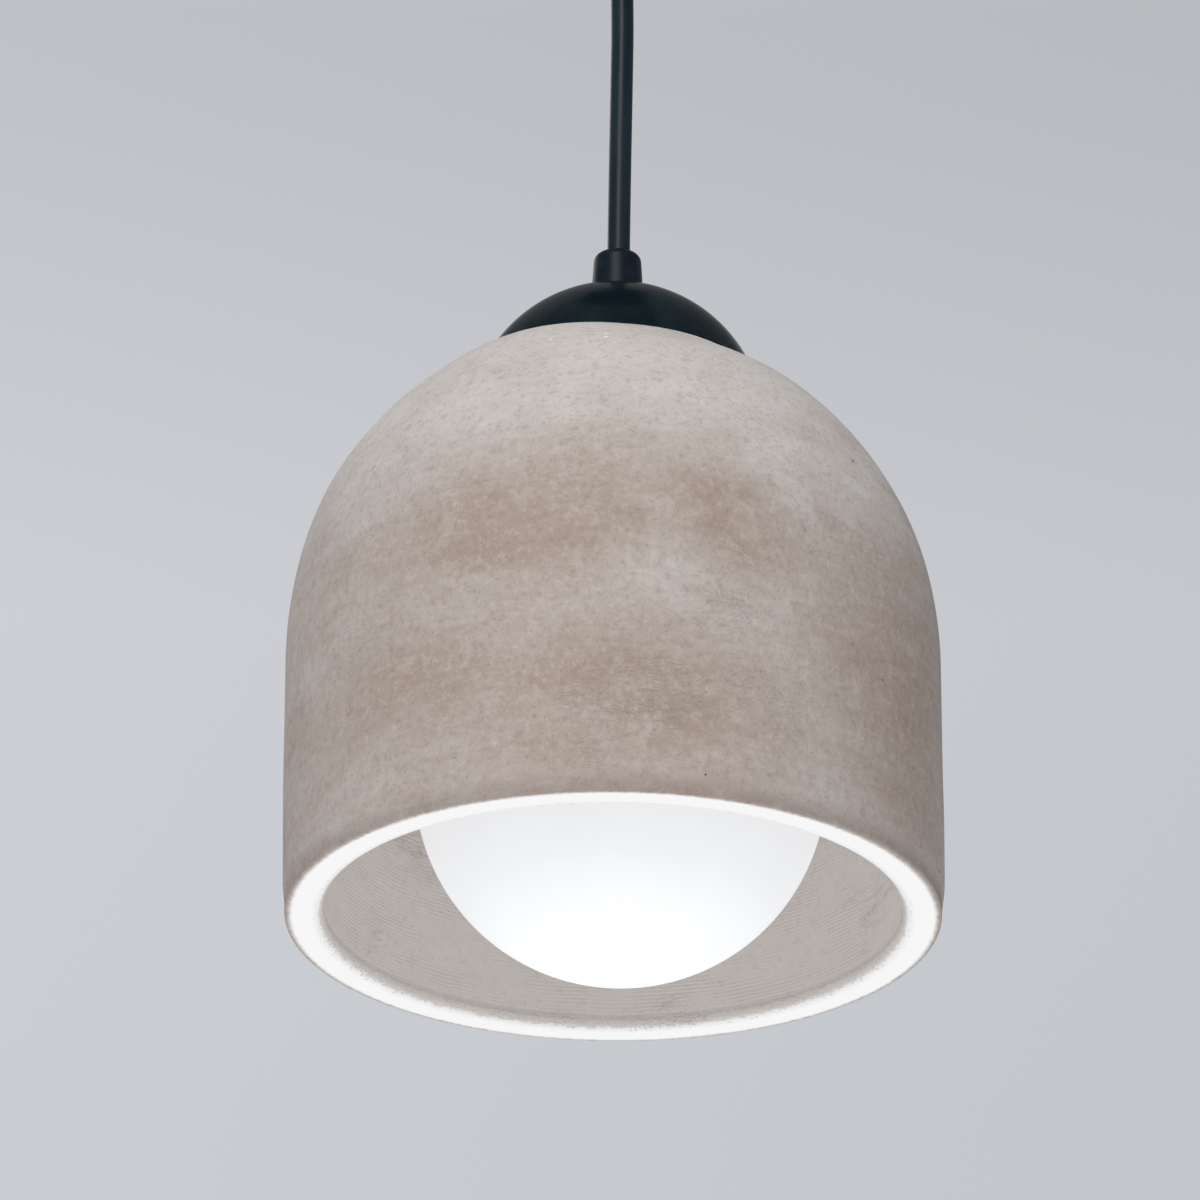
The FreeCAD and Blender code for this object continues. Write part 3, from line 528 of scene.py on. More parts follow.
@dataclass(frozen=True)
class Lacquer(Finish):
    """Satin powder coat on steel, with its fine orange skin and a little dust."""

    colour: Colour
    sheen: float
    skin: float
    gloss: float = 0.2

    def mix(self, mixer: Mixer) -> None:
        """Build the lacquer's nodes."""
        place = mixer.place()
        skin = mixer.noise(place, 0.8, 2.0)
        cloud = mixer.noise(place, 14.0, 4.0, 0.6, 0.5)
        dust = mixer.cells(place, 4.0, 0.12, 0.14)
        colour = mixer.coats(
            self.colour, (cloud.step(0.4, 0.75), tinted(self.colour, 1.5, 0.004)),
            (dust * 0.35, paint(96, 98, 98)))
        rough = self.sheen + (cloud - 0.5) * 0.14 + dust * 0.2
        mixer.surface(
            Base_Color=colour, Roughness=rough, Normal=mixer.bump(skin, self.skin), IOR=1.5,
            Specular_IOR_Level=self.gloss)


@dataclass(frozen=True)
class Moulding(Finish):
    """Moulded plastic, rubber or phenolic, with a spark-eroded grain."""

    colour: Colour
    sheen: float
    grain: float
    drawn: float = 1.0
    gloss: float = 0.5

    def mix(self, mixer: Mixer) -> None:
        """Build the moulding's nodes."""
        place = mixer.place((1.0, 1.0, self.drawn))
        grain = mixer.noise(place, 0.5, 2.0, 0.55)
        cloud = mixer.noise(place, 9.0, 4.0, 0.6, 0.4)
        colour = mixer.blend(
            cloud.step(0.3, 0.7), tinted(self.colour, 0.8), tinted(self.colour, 1.25, 0.003))
        rough = self.sheen + (cloud - 0.5) * 0.16 + (grain - 0.5) * 0.08
        mixer.surface(
            Base_Color=colour, Roughness=rough, Normal=mixer.bump(grain, self.grain), IOR=1.5,
            Specular_IOR_Level=self.gloss)


@dataclass(frozen=True)
class Metal(Finish):
    """Bare or plated metal with drawn scratches, dull patches and handling marks."""

    colour: Colour
    dull: Colour
    sheen: float
    stretch: Triple = (1.0, 1.0, 1.0)

    def mix(self, mixer: Mixer) -> None:
        """Build the metal's nodes."""
        place = mixer.place()
        drawn = mixer.noise(mixer.place(self.stretch), 1.4, 4.0, 0.65)
        patch = mixer.noise(place, 7.0, 4.0, 0.6, 0.7)
        marks = mixer.noise(place, 0.9, 3.0, 0.6)
        colour = mixer.blend(patch.step(0.42, 0.75), self.colour, self.dull)
        rough = self.sheen + (patch - 0.5) * 0.3 + (drawn - 0.5) * 0.16
        relief = mixer.bump(drawn, 0.03, mixer.bump(marks, 0.02))
        mixer.surface(Base_Color=colour, Roughness=rough, Metallic=1.0, Normal=relief)


@dataclass(frozen=True)
class OpalGlass(Finish):
    """Lit opal glass: bright at its foot, dimmer round its waist, brightest near its neck."""

    foot: Colour
    waist: Colour
    neck: Colour
    strength: float = 1.0
    width: float = 125.0

    def mix(self, mixer: Mixer) -> None:
        """Build the glass's nodes."""
        place = mixer.place()
        milk = mixer.noise(place, 26.0)
        above_foot = mixer.axes(place)[2] + (DROP + 17.5)
        skin = mixer.noise(place, 5.0, 2.0)
        glow = mixer.ramp(
            (above_foot + (milk - 0.5) * 5) / self.width,
            (0.0, self.foot), (0.17, self.waist), (0.5, self.waist), (0.9, self.neck))
        body = mixer.blend(milk, paint(150, 152, 154), paint(166, 167, 168))
        mixer.surface(
            Base_Color=body, Roughness=0.55 + (milk - 0.5) * 0.1, IOR=1.5, Specular_IOR_Level=0.25,
            Normal=mixer.bump(skin, 0.02), Emission_Color=glow, Emission_Strength=self.strength)


@dataclass(frozen=True)
class CircuitBoard(Finish):
    """Printed board: lacquered fibre with faint, square-cornered tracks."""

    colour: Colour
    track: Colour
    pitch: float = 2.6

    def mix(self, mixer: Mixer) -> None:
        """Build the board's nodes."""
        place = mixer.place()
        cell = mixer.node(
            "ShaderNodeTexVoronoi", {"feature": "F1", "distance": "CHEBYCHEV"},
            {"Vector": place, "Scale": 1 / self.pitch, "Randomness": 0.7})
        tracks = (mixer.signal(cell, "Distance") * 4.0).wave().step(0.2, 0.4)
        weave = mixer.noise(place, 0.4, 2.0)
        colour = mixer.blend(tracks * 0.7, self.colour, self.track)
        mixer.surface(
            Base_Color=colour, Roughness=0.34 + (weave - 0.5) * 0.2,
            Normal=mixer.bump(tracks, 0.04, mixer.bump(weave, 0.02)), IOR=1.5)


@dataclass(frozen=True)
class Phosphor(Finish):
    """Yellow phosphor dies in white frames."""

    colour: Colour

    def mix(self, mixer: Mixer) -> None:
        """Build the dies' nodes."""
        place = mixer.place()
        speck = mixer.noise(place, 0.35, 2.0, 0.6)
        cloud = mixer.noise(place, 2.0, 2.0)
        colour = mixer.blend(speck.step(0.4, 0.7), self.colour, paint(236, 205, 96))
        mixer.surface(
            Base_Color=colour, Roughness=0.4 + (cloud - 0.5) * 0.2, Normal=mixer.bump(speck, 0.03))


@dataclass(frozen=True)
class EarthWire(Finish):
    """Green wire insulation with its yellow stripe."""

    green: Colour
    yellow: Colour

    def mix(self, mixer: Mixer) -> None:
        """Build the insulation's nodes."""
        place = mixer.place()
        across, deep, up = mixer.axes(place)
        stripe = ((across + deep * 0.6 + up * 0.5) * 2.1).wave().step(0.35, 0.5)
        grain = mixer.noise(place, 0.5, 2.0)
        colour = mixer.blend(stripe, self.green, self.yellow)
        mixer.surface(
            Base_Color=colour, Roughness=0.42 + (grain - 0.5) * 0.2,
            Normal=mixer.bump(grain, 0.02))


@dataclass(frozen=True)
class Floor(Finish):
    """Plain pale studio floor."""

    colour: Colour
    tint: Colour

    def mix(self, mixer: Mixer) -> None:
        """Build the floor's nodes."""
        cloud = mixer.noise(mixer.place(), 900.0)
        colour = mixer.blend(cloud, self.colour, self.tint)
        mixer.surface(
            Base_Color=colour, Roughness=0.9, Emission_Color=colour, Emission_Strength=0.5)


CONCRETE = CastConcrete(
    "cast_concrete", "concrete", pale=paint(202, 197, 193), brown=paint(164, 146, 134),
    # inside is paler than pale: painted light from the bulb on the inner wall
    inside=paint(215, 208, 203), lime=paint(241, 240, 239),
    stains=tuple(Stain(*row) for row in (
        (-1, 128, 7, 9, 0.14), (-14, 90, 34, 24, 0.24), (20, 92, 10, 24, 0.30),
        (10, 72, 10, 14, -0.34), (-46, 110, 18, 18, -0.12), (40, 106, 20, 18, -0.26),
        (58, 60, 20, 34, 0.30), (-40, 42, 30, 17, 0.24), (2, 28, 26, 36, 0.34),
        (-2, 112, 14, 13, 0.20), (-48, 92, 24, 34, 0.06), (60, 26, 18, 26, 0.26))))
CAP_BLACK = Lacquer("cap_lacquer", "cap_black", paint(12, 25, 30), 0.23, 0.02, 0.06)
GRIP_BLACK = Moulding("grip_nylon", "grip_black", paint(14, 28, 36), 0.40, 0.03, gloss=0.1)
CORD_BLACK = Moulding(
    "cord_rubber", "cord_black", paint(24, 37, 45), 0.36, 0.02, drawn=0.12, gloss=0.12)
PAD_RUBBER = Moulding("pad_rubber", "pad_rubber", paint(34, 34, 36), 0.8, 0.08)
NYLON = Moulding("screw_nylon", "nylon", paint(30, 32, 34), 0.5, 0.03)
PHENOLIC = Moulding("holder_phenolic", "holder_black", paint(26, 27, 29), 0.34, 0.04)
CERAMIC = Moulding("block_ceramic", "ceramic_block", paint(226, 221, 210), 0.3, 0.05)
NECK_WHITE = Moulding("neck_white", "neck_white", paint(233, 233, 230), 0.38, 0.04)
INSULATOR = Moulding("cap_insulator", "insulator", paint(38, 30, 48), 0.22, 0.03)
CAPACITOR = Moulding("capacitor_sleeve", "capacitor", paint(36, 52, 96), 0.35, 0.02)
CORE_BROWN = Moulding("core_brown", "core_brown", paint(104, 60, 36), 0.42, 0.02)
CORE_BLUE = Moulding("core_blue", "core_blue", paint(44, 92, 168), 0.42, 0.02)
CORE_EARTH = EarthWire("core_earth", "core_earth", paint(52, 128, 58), paint(222, 200, 54))
ZINC = Metal(
    "zinc_steel", "steel", paint(196, 198, 200), paint(150, 152, 152), 0.32, (1.0, 8.0, 8.0))
BRASS = Metal("brass", "brass", paint(214, 178, 104), paint(164, 126, 66), 0.3)
NICKEL = Metal(
    "nickel", "nickel", paint(208, 204, 196), paint(166, 160, 150), 0.2, (1.0, 1.0, 9.0))
ALUMINIUM = Metal("aluminium", "aluminium", paint(212, 213, 214), paint(176, 177, 178), 0.36)
OPAL = OpalGlass(
    "opal_glass", "opal", foot=(0.66, 0.655, 0.645, 1.0), waist=(0.575, 0.58, 0.59, 1.0),
    neck=(0.80, 0.785, 0.765, 1.0))
BOARD_WHITE = CircuitBoard(
    "led_board_white", "board_white", paint(230, 230, 226), paint(198, 198, 192))
BOARD_GREEN = CircuitBoard(
    "driver_board_green", "board_green", paint(38, 92, 56), paint(84, 140, 92))
PHOSPHOR = Phosphor("led_phosphor", "chip_yellow", paint(244, 214, 84))
FLOOR = Floor("studio_floor", "", paint(204, 205, 207), paint(198, 199, 202))


# ---- meshes
def arc(centre: Point, radius: float, start: float, end: float, steps: int) -> list[Point]:
    """Points along an arc, both ends included.

    Args:
        centre: radius and height of its centre.
        radius: its radius.
        start, end: its two angles in degrees, from outwards towards up.
        steps: how many runs it has.

    Returns:
        The points.
    """
    turns = [radians(start + (end - start) * i / steps) for i in range(steps + 1)]
    return [
        (centre[0] + radius * cos(turn), centre[1] + radius * sin(turn))
        for turn in turns]


def run(start: Point, end: Point, steps: int) -> list[Point]:
    """Even points along a straight run, its start left out."""
    return [
        (start[0] + (end[0] - start[0]) * i / steps, start[1] + (end[1] - start[1]) * i / steps)
        for i in range(1, steps + 1)
    ]


def bezier(a: Point, b: Point, c: Point, d: Point, steps: int) -> list[Point]:
    """Points along a cubic curve, its start left out."""
    points = []
    for i in range(1, steps + 1):
        t = i / steps
        u = 1 - t
        shares = (u ** 3, 3 * u * u * t, 3 * u * t * t, t ** 3)
        points.append(tuple(
            sum(share * point[axis] for share, point in zip(shares, (a, b, c, d)))
            for axis in (0, 1)))
    return points


def eased(corners: Sequence[tuple[float, float, float]], steps: int = 5) -> list[Point]:
    """Round an outline's corners.

    Args:
        corners: radius, height and rounding of each corner, in order round the outline.
        steps: how many runs each rounding has.

    Returns:
        The closed outline.
    """
    points: list[Point] = []
    count = len(corners)
    for i, (r, h, rounding) in enumerate(corners):
        here = Vector((r, h))
        if rounding <= 0:
            points.append((r, h))
            continue
        inward = (Vector(corners[i - 1][:2]) - here).normalized()
        outward = (Vector(corners[(i + 1) % count][:2]) - here).normalized()
        half = inward.angle(outward) / 2
        back = rounding / tan(half)
        middle = here + (inward + outward).normalized() * (rounding / sin(half))
        first = here + inward * back - middle
        last = here + outward * back - middle
        turn = first.angle_signed(last)
        for k in range(steps + 1):
            arm = Matrix.Rotation(-turn * k / steps, 2) @ first
            points.append(tuple(middle + arm))
    return points


def add_object(name: str, data: ID) -> Object:
    """Put a new object in the scene."""
    made = bpy.data.objects.new(name, data)
    bpy.context.scene.collection.objects.link(made)
    return made


def add_mesh(
    name: str, vertices: Grid, faces: list[tuple[int, ...]], crease: float
) -> Object:
    """Make an object from a mesh in metres.

    Args:
        name: the piece's name.
        vertices: its corners.
        faces: its faces by corner.
        crease: edges that turn more than this many degrees stay sharp.

    Returns:
        The object, in the scene.
    """
    mesh = bpy.data.meshes.new(name)
    mesh.from_pydata(vertices.tolist(), [], faces)
    mesh.validate()
    mesh.shade_smooth()
    mesh.set_sharp_from_angle(angle=radians(crease))
    return add_object(name, mesh)


@dataclass(frozen=True)
class Lathe:
    """Turns closed outlines about the lamp's axis."""

    segments: int = 128
    crease: float = 50.0

    def turn(
        self, name: str, outline: Sequence[Point], relief: Relief | None = None,
        datum: Datum = Datum.RIM
    ) -> Object:
        """Turn one piece.

        Args:
            name: the piece's name.
            outline: closed outline in millimetres, anticlockwise, as radius and height.
            relief: moves the points; gets radius, height and turn, and gives x, y and height.
            datum: where its heights are counted from.

        Returns:
            The piece.
        """
        count, segments = len(outline), self.segments
        rings = np.array(outline, float)
        turn = np.linspace(0, 2 * pi, segments, endpoint=False)
        radius = np.repeat(rings[:, 0:1], segments, 1)
        height = np.repeat(rings[:, 1:2], segments, 1)
        angle = np.repeat(turn[None, :], count, 0)
        if relief is None:
            x, y, z = radius * np.cos(angle), radius * np.sin(angle), height
        else:
            x, y, z = relief(radius, height, angle)
        grid = np.stack([x, y, z + datum.value], -1) * MM
        index = np.arange(count * segments).reshape(count, segments)
        poles = [i for i in range(count) if rings[i, 0] < 1e-6]
        for i in poles:
            index[i, :] = index[i, 0]
        faces: list[tuple[int, ...]] = []
        for i in range(count):
            j = (i + 1) % count
            if i in poles and j in poles:
                continue
            for k in range(segments):
                m = (k + 1) % segments
                ring = (index[i, k], index[i, m], index[j, m], index[j, k])
                faces.append(tuple(int(v) for v in dict.fromkeys(ring)))
        used = sorted({v for face in faces for v in face})
        lookup = {old: new for new, old in enumerate(used)}
        faces = [tuple(lookup[v] for v in face) for face in faces]
        return add_mesh(name, grid.reshape(-1, 3)[used], faces, self.crease)


def fit(piece: Object, body: Body, finish: Finish, *stands_for: str) -> None:
    """Finish a piece and hang it on its body.

    Args:
        piece: the piece, in place.
        body: the body it moves with.
        finish: its finish.
        stands_for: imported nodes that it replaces.
    """
    piece.data.materials.append(finish.material())
    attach(piece, body.value)
    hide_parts(*stands_for)
    LOG.info("%s rides on %s in %s", piece.name, body.value, finish.name)


def dress(finish: Finish, *nodes: str) -> None:
    """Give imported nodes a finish.

    Args:
        finish: the finish.
        nodes: the nodes' names.
    """
    for name in nodes:
        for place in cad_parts[name].material_slots:
            place.material = finish.material()
        LOG.info("%s keeps its shape in %s", name, finish.name)


# ---- camera, light and floor
@dataclass(frozen=True)
class Softbox:
    """One square studio light."""

    name: str
    at: Triple
    side: float
    watts: float
    colour: Triple


@dataclass(frozen=True)
class Studio:
    """Camera below and in front of the lamp, soft lights, even backdrop and a pale floor."""

    eye: Triple = (0.0, -3.2336, -1.7134)
    aim: Triple = (-0.0046, -0.0369, -0.2849)
    lens: float = 347.7
    sensor: float = 36.0
    far_clip: float = 100.0
    roll: float = 0.42
    floor_level: float = -2.2
    floor_rings: tuple[float, ...] = (10.5, 30.0)
    floor_segments: int = 96
    lit: Triple = (-0.02, 0.0, -0.27)
    boxes: tuple[Softbox, ...] = (
        Softbox("key_light", (-0.38, -2.25, 1.40), 1.2, 53.0, (1.0, 0.99, 0.975)),
        Softbox("floor_bounce", (0.0, 0.0, -2.1), 2.0, 21.0, (1.0, 0.995, 0.985)),
        Softbox("back_light", (-1.4, 1.9, 1.0), 0.9, 5.0, (0.93, 0.97, 1.0)),
    )

    def make_camera(self) -> None:
        """Set up the camera and make it the scene's."""
        data = bpy.data.cameras.new("camera")
        data.lens = self.lens
        data.sensor_width = self.sensor
        data.clip_end = self.far_clip
        camera = add_object("camera", data)
        towards = Vector(self.aim) - Vector(self.eye)
        level = towards.to_track_quat("-Z", "Y")
        camera.rotation_mode = "QUATERNION"
        camera.rotation_quaternion = level @ Quaternion((0, 0, 1), radians(self.roll))
        camera.location = self.eye
        bpy.context.scene.camera = camera

    def make_lights(self) -> None:
        """Hang the softboxes, each one facing the lamp."""
        for box in self.boxes:
            data = bpy.data.lights.new(box.name, "AREA")
            data.shape = "SQUARE"
            data.size = box.side
            data.energy = box.watts
            data.color = box.colour
            lamp = add_object(box.name, data)
            lamp.location = box.at
            towards = Vector(self.lit) - Vector(box.at)
            lamp.rotation_euler = towards.to_track_quat("-Z", "Y").to_euler()

    def make_world(self) -> None:
        """Light the room evenly: pale near the horizon, cooler above, dim overhead."""
        world = bpy.data.worlds.new("room")
        bpy.context.scene.world = world
        world.use_nodes = True
        mixer = Mixer(world.node_tree)
        way = mixer.signal(mixer.node("ShaderNodeTexCoord"), "Generated")
        side, ahead, up = mixer.axes(way)
        colour = mixer.ramp(
            up * 0.5 + 0.5,
            (0.0, paint(206, 207, 210)), (0.660, paint(199, 202, 207)),
            (0.682, paint(198, 201, 206)), (0.704, paint(201, 203, 208)),
            (0.726, paint(188, 189, 194)), (0.80, paint(236, 238, 242)),
            (1.0, paint(255, 255, 255)))
        backdrop = abs(side).step(0.5, 0.12) * ahead.step(0.0, 0.5)
        dim = up.step(0.02, 0.2) * up.step(0.8, 0.5) * (1 - backdrop) * 0.40
        overhead = up.step(0.50, 0.62) * 0.70
        strength = (side.step(0.12, -0.12) * 0.14 + 0.93) * (1 - dim) * (1 - overhead)
        sky = mixer.node("ShaderNodeBackground", None, {"Color": colour, "Strength": strength})
        mixer.node("ShaderNodeOutputWorld", None, {"Surface": sky.outputs[0]})

    def make_floor(self) -> None:
        """Lay the round floor well below the lamp."""
        count = self.floor_segments
        vertices = [(0.0, 0.0, self.floor_level)]
        for reach in self.floor_rings:
            vertices += [
                (reach * cos(turn), reach * sin(turn), self.floor_level)
                for turn in np.arange(count) * (2 * pi / count)]
        faces: list[tuple[int, ...]] = []
        for k in range(1, count + 1):
            m = k % count + 1
            faces += [(0, k, m), (k, count + k, count + m, m)]
        floor = add_mesh("studio_floor", np.array(vertices), faces, 30.0)
        floor.data.materials.append(FLOOR.material())

    def build(self) -> None:
        """Set up the whole studio."""
        bpy.context.scene.view_settings.view_transform = "Standard"
        self.make_camera()
        self.make_lights()
        self.make_world()
        self.make_floor()


# ---- the light's sub-assemblies
@dataclass(frozen=True)
class HangingCord:
    """The three-core cord between the rose's outlet and the lamp's grip."""

    diameter: float = 0.007
    length: float = 0.1248
    exit: Triple = (0.0, 0.0, -0.151456)
    route: tuple[Triple, ...] = (
        (0.0003, 0.0, -0.156256), (0.0005, 0.0, -0.1269), (0.0009, 0.0, -0.0951),
        (0.0012, 0.0, -0.0633), (0.0, 0.0, -0.0315))

    def build(self) -> None:
        """Hang the cord, taut under the lamp's weight."""
        data = bpy.data.curves.new("cord_sheath", "CURVE")
        data.dimensions = "3D"
        data.bevel_depth = self.diameter / 2
        data.bevel_resolution = 10
        data.resolution_u = 12
        data.use_fill_caps = True
        spline = data.splines.new("NURBS")
        spline.points.add(len(self.route) - 1)
        for point, place in zip(spline.points, self.route):
            point.co = (*place, 1.0)
        spline.order_u = 3
        spline.use_endpoint_u = True
        cord = add_object("cord_sheath", data)
        fit(cord, Body.CORD, CORD_BLACK, "cord")
        dress(CORD_BLACK, "cord_foot", "cord_head")


@dataclass(frozen=True)
class CastShade:
    """The cast shade: straight flank, dome pulled a little to one side, flat seat, soft rim."""

    radius: float = 100.0
    wall: float = 12.5
    straight: float = 82.6
    flank: float = 131.0
    flank_turn: float = 12.2
    seat: float = 178.0
    crown: float = 10.0
    rim_round: float = 2.0
    rim_inner_round: float = 3.0
    hole: float = 5.4
    seat_reach: float = 43.6

    def outline(self) -> list[Point]:
        """The shade's section, from the hole under the crown round to the hole's top.

        Returns:
            The closed outline.
        """
        dome = self.flank + (self.radius - self.flank) / cos(radians(self.flank_turn))
        middle = self.straight - (dome - self.flank) * sin(radians(self.flank_turn))
        flank_at = (self.radius - self.flank, self.straight)
        inner = self.radius - self.wall
        ceiling = self.seat - self.crown
        inner_dome = dome - self.wall
        top = degrees(asin((ceiling - middle) / inner_dome))
        edge = degrees(asin((self.seat - middle) / dome))
        edge_r = dome * cos(radians(edge))
        lip = inner + self.rim_inner_round
        points = [(self.hole, ceiling)]
        points += run(points[-1], (inner_dome * cos(radians(top)), ceiling), 8)
        points += arc((0, middle), inner_dome, top, self.flank_turn, 44)[1:]
        points += arc(flank_at, self.flank - self.wall, self.flank_turn, 0, 16)[1:]
        points += run(points[-1], (inner, self.rim_inner_round), 40)
        points += arc((lip, self.rim_inner_round), self.rim_inner_round, 180, 270, 9)[1:]
        points += run(points[-1], (self.radius - self.rim_round, 0), 9)
        points += arc(
            (self.radius - self.rim_round, self.rim_round), self.rim_round, 270, 360, 7)[1:]
        points += run(points[-1], (self.radius, self.straight), 46)
        points += arc(flank_at, self.flank, 0, self.flank_turn, 18)[1:]
        points += arc((0, middle), dome, self.flank_turn, edge, 60)[1:]
        points += run((edge_r, self.seat), (self.hole, self.seat), 14)
        return points

    def relief(self, radius: Grid, height: Grid, turn: Grid) -> Grids:
        """Pull the outside about as a hand-finished casting is.

        Args:
            radius, height, turn: where each point starts.

        Returns:
            Its x, y and height.
        """
        rise = np.maximum(height - SPRING, 0)
        shell = np.hypot(radius, rise)
        outside = np.clip((shell - SKIN) / 0.5, 0, 1) * (height > 1e-3)
        latitude = np.degrees(np.arctan2(height - SPRING, radius))
        swell = np.interp(
            latitude, (-30, -14, 0, 8, 27, 50, 56, 63), (0, 0.3, 0.55, 0.8, 1.5, 1.8, 2.4, 3.0))
        lift = np.interp(
            latitude, (-30, -14, 0, 8, 27, 50, 63), (0, -0.3, -0.5, -0.5, -0.3, 0, 0.2))
        off_seat = smooth(np.clip((radius - self.seat_reach) / 2.2, 0, 1))
        hold = np.where(height > self.seat - 4, off_seat, 1.0)
        nip = np.clip(height / self.rim_round, 0, 1) * np.clip((10 - height) / 8, 0, 1) * 0.9
        push = (lift - nip - swell * np.cos(turn)) * outside * hold
        ripple = (
            np.sin(2 * turn + height * 0.02) * 0.25 + np.sin(5 * turn - height * 0.05 + 1.3) * 0.12
            + np.sin(11 * turn + height * 0.11) * 0.05)
        fade = np.clip(height / 12, 0, 1) * np.clip((self.seat - height) / 12, 0, 1)
        push = push + ripple * outside * fade
        length = np.where(shell > 1e-6, shell, 1.0)
        radius = radius + push * radius / length
        height = height + push * rise / length
        return radius * np.cos(turn), radius * np.sin(turn), height

    def build(self) -> None:
        """Cast the shade."""
        shade = Lathe(segments=288, crease=60.0).turn("cast_shade", self.outline(), self.relief)
        fit(shade, Body.LAMP, CONCRETE, "shade")


@dataclass(frozen=True)
class Crown:
    """The spun cap on the shade's seat, and what is clamped on the threaded tube."""

    radius: float = 43.4
    seat: float = 178.0
    sphere: float = 45.9278
    centre: float = 162.9722
    flat: float = 8.3
    wall: float = 1.0
    hole: float = 5.4
    bead: float = 0.9

    def outline(self) -> list[Point]:
        """The cap's section: a dome with a rolled bead at its rim and a flat for the grip.

        Returns:
            The closed outline.
        """
        centre = (0.0, self.centre)
        foot = degrees(asin((self.seat + self.bead - self.centre) / self.sphere))
        top = degrees(acos(self.flat / self.sphere))
        flat_h = self.centre + sqrt(self.sphere ** 2 - self.flat ** 2)
        inner = self.sphere - self.wall
        inner_top = degrees(asin((flat_h - self.wall - self.centre) / inner))
        points = arc((self.radius - self.bead * 0.62, self.seat + self.bead * 0.5),
                     self.bead * 0.5, 200, 380, 8)
        points += arc(centre, self.sphere, foot, top - 3, 56)
        points += bezier(
            points[-1], (self.flat + 1.2, flat_h - 0.05), (self.flat + 0.6, flat_h),
            (self.flat - 0.6, flat_h), 5)
        points += [(self.hole, flat_h), (self.hole, flat_h - self.wall)]
        points += arc(centre, inner, inner_top, foot, 44)
        return points

    def build(self) -> None:
        """Spin the cap and dress the fixings."""
        cap = Lathe(segments=192).turn("spun_cap", self.outline())
        fit(cap, Body.LAMP, CAP_BLACK, "cap_dome")
        dress(ZINC, "threaded_tube", "crown_washer", "crown_nut", "support_washer", "support_nut")
        dress(PAD_RUBBER, "shade_pad")


@dataclass(frozen=True)
class CordGrip:
    """The moulded grip that holds the cord on top of the cap."""

    base: float = 208.144
    base_radius: float = 8.1
    top_radius: float = 7.2
    tall: float = 14.4
    shoulder: float = 2.8
    mouth: float = 4.45
    mouth_deep: float = 1.3
    bore: float = 3.8
    socket: float = 5.05
    socket_deep: float = 4.05

    def build(self) -> None:
        """Mould the grip and dress its screw."""
        top = self.base + self.tall
        shelf = self.base + self.socket_deep
        outline = eased([
            (self.socket, self.base, 0.0),
            (self.base_radius, self.base, 0.25),
            (self.base_radius - 0.12, self.base + 1.6, 0.5),
            (self.top_radius, top, self.shoulder),
            (self.mouth, top, 0.3),
            (self.bore, top - self.mouth_deep, 0.3),
            (self.bore, shelf, 0.0),
            (self.socket, shelf, 0.0),
        ], 7)
        grip = Lathe().turn("cord_grip_moulding", outline)
        fit(grip, Body.LAMP, GRIP_BLACK, "cord_grip")
        dress(NYLON, "cord_grip_screw")


@dataclass(frozen=True)
class Lampholder:
    """The E27 holder on the tube's foot."""

    def build(self) -> None:
        """Dress the holder."""
        dress(PHENOLIC, "holder_cap", "holder_skirt")
        dress(CERAMIC, "contact_block")
        dress(ZINC, "holder_nut", "holder_terminal_screws")
        dress(BRASS, "earth_tag", "screw_shell", "centre_contact", "holder_terminals")
        dress(CORE_BROWN, "live_core")
        dress(CORE_BLUE, "neutral_core")
        dress(CORE_EARTH, "earth_core")


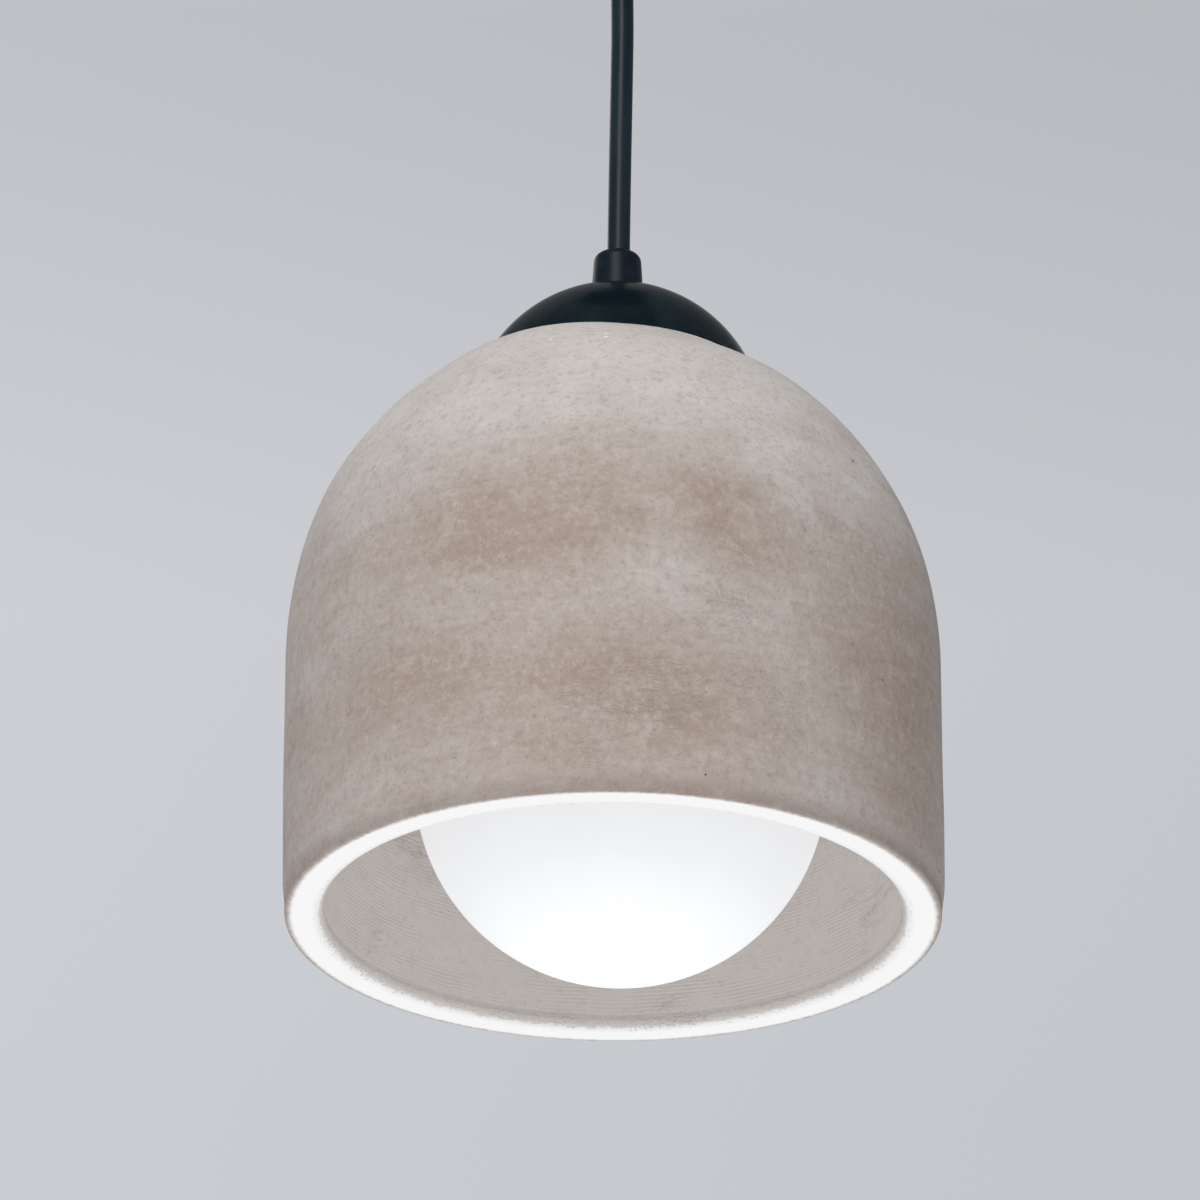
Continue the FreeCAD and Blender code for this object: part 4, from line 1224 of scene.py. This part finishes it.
@dataclass(frozen=True)
class GlobeBulb:
    """The opal globe bulb with its neck collar and screw cap."""

    radius: float = 62.5
    centre: float = 45.0
    wall: float = 1.2
    throat: float = 30.5
    neck: float = 22.5
    neck_top: float = 106.0
    lean: float = 2.0
    collar: float = 13.9
    collar_spigot: float = 21.0
    collar_hollow: float = 19.5
    bore: float = 11.75
    screw_foot: float = 116.6
    screw_long: float = 22.0
    crest: float = 13.1
    thread_depth: float = 0.95
    pitch: float = 3.629

    def globe_side(self, gap: float) -> list[Point]:
        """One face of the globe from its foot to its mouth.

        Args:
            gap: how far the face lies inside the outer one.

        Returns:
            The points.
        """
        radius = self.radius - gap
        leave = degrees(acos((self.throat - gap) / radius))
        points = arc((0.0, self.centre), radius, -90, leave, 74)
        points[0] = (0.0, points[0][1])
        last = points[-1]
        slope = Vector((-sin(radians(leave)), cos(radians(leave))))
        points += bezier(
            last, (last[0] + slope.x * 4.2, last[1] + slope.y * 4.2),
            (self.neck - gap, self.neck_top - 3.2), (self.neck - gap, self.neck_top), 12)
        return points

    def sway(self, radius: Grid, height: Grid, turn: Grid) -> Grids:
        """Lean the globe a touch to one side of its cap, as a bulb sits in its threads."""
        share = smooth(np.clip((self.neck_top - height) / 60, 0, 1))
        return radius * np.cos(turn) + self.lean * share, radius * np.sin(turn), height

    def thread(self, radius: Grid, height: Grid, turn: Grid) -> Grids:
        """Roll the knuckle thread into the screw cap."""
        along = height - self.screw_foot
        wound = 0.5 + 0.5 * np.cos(2 * pi * (along / self.pitch - turn / (2 * pi)))
        ends = np.clip((along - 1.2) / 2.2, 0, 1)
        ends = ends * np.clip((self.screw_long - 1.4 - along) / 2.2, 0, 1)
        outside = radius > self.crest - self.thread_depth - 0.05
        radius = radius + np.where(outside, self.thread_depth * wound * ends, 0)
        return radius * np.cos(turn), radius * np.sin(turn), height

    def build(self) -> None:
        """Blow the globe, turn the collar and roll the screw cap."""
        outer = self.globe_side(0.0)
        inner = self.globe_side(self.wall)
        globe = Lathe(segments=176, crease=60.0).turn(
            "opal_globe", outer + inner[::-1], self.sway)
        fit(globe, Body.BULB, OPAL, "bulb_globe")

        tail = self.neck_top - 6.0
        collar = eased([
            (self.collar_hollow, tail, 0.0),
            (self.collar_spigot, tail, 0.4),
            (self.collar_spigot, self.neck_top, 0.0),
            (self.neck, self.neck_top, 0.35),
            (self.neck, self.neck_top + 1.2, 0.6),
            (self.neck - 3.4, self.neck_top + 6.6, 3.0),
            (self.collar, self.neck_top + 8.6, 0.8),
            (self.collar, self.screw_foot, 0.3),
            (self.bore, self.screw_foot, 0.0),
            (self.bore, self.neck_top + 7.75, 2.0),
            (self.collar_hollow, self.neck_top, 1.0),
        ], 6)
        neck = Lathe(crease=40.0).turn("bulb_neck_collar", collar)
        fit(neck, Body.BULB, NECK_WHITE, "bulb_housing")

        root = self.crest - self.thread_depth
        top = self.screw_foot + self.screw_long
        rolled = [(self.bore, self.screw_foot), (root, self.screw_foot)]
        rolled += run(rolled[-1], (root, top), 88)
        rolled += [(self.bore, top)]
        screw = Lathe().turn("bulb_thread_cap", rolled, self.thread)
        fit(screw, Body.BULB, NICKEL, "bulb_screw_cap")
        dress(INSULATOR, "bulb_insulator")
        dress(NICKEL, "bulb_tip")
        dress(ALUMINIUM, "heat_spreader")
        dress(BOARD_WHITE, "led_board")
        dress(PHOSPHOR, "led_chips")
        dress(BOARD_GREEN, "driver_board")
        dress(CAPACITOR, "driver_capacitor")


@dataclass(frozen=True)
class CeilingRose:
    """The ceiling rose: cup, outlet, strap, terminal block and earth point."""

    floor: float = -28.0
    foot: float = -39.0
    outlet: float = 9.0
    mouth: float = 5.4
    mouth_top: float = -35.0
    bore: float = 3.8
    socket: float = 5.0
    socket_foot: float = -20.0

    def make_outlet(self) -> None:
        """Mould the outlet that the cord leaves by."""
        outline = eased([
            (self.mouth, self.foot, 0.5),
            (self.outlet - 0.6, self.foot, 2.2),
            (self.outlet, self.floor, 0.25),
            (self.socket, self.floor, 0.0),
            (self.socket, self.socket_foot, 0.4),
            (self.bore, self.socket_foot, 0.0),
            (self.bore, self.mouth_top, 1.2),
        ], 7)
        piece = Lathe().turn("rose_outlet_moulding", outline, datum=Datum.CEILING)
        fit(piece, Body.ROSE, GRIP_BLACK, "rose_outlet")

    def build(self) -> None:
        """Build the outlet and dress the rose."""
        self.make_outlet()
        dress(CAP_BLACK, "rose_cup")
        dress(ZINC, "rose_strap", "rose_cup_screws", "rose_outlet_nut", "rose_clamp_screws",
              "rose_block_screw", "rose_earth_screw")
        dress(NYLON, "rose_outlet_screw")
        dress(NECK_WHITE, "rose_terminal_block")
        dress(BRASS, "rose_clamps", "rose_earth_lug")
        dress(CORE_BROWN, "rose_live_core")
        dress(CORE_BLUE, "rose_neutral_core")
        dress(CORE_EARTH, "rose_earth_core")


def main() -> None:
    """Build the light in its studio."""
    logging.basicConfig(level=logging.INFO, format="%(message)s")
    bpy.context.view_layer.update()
    for part in (Studio(), HangingCord(), CastShade(), Crown(), CordGrip(), Lampholder(),
                 GlobeBulb(), CeilingRose()):
        part.build()


if __name__ == "__main__":
    main()
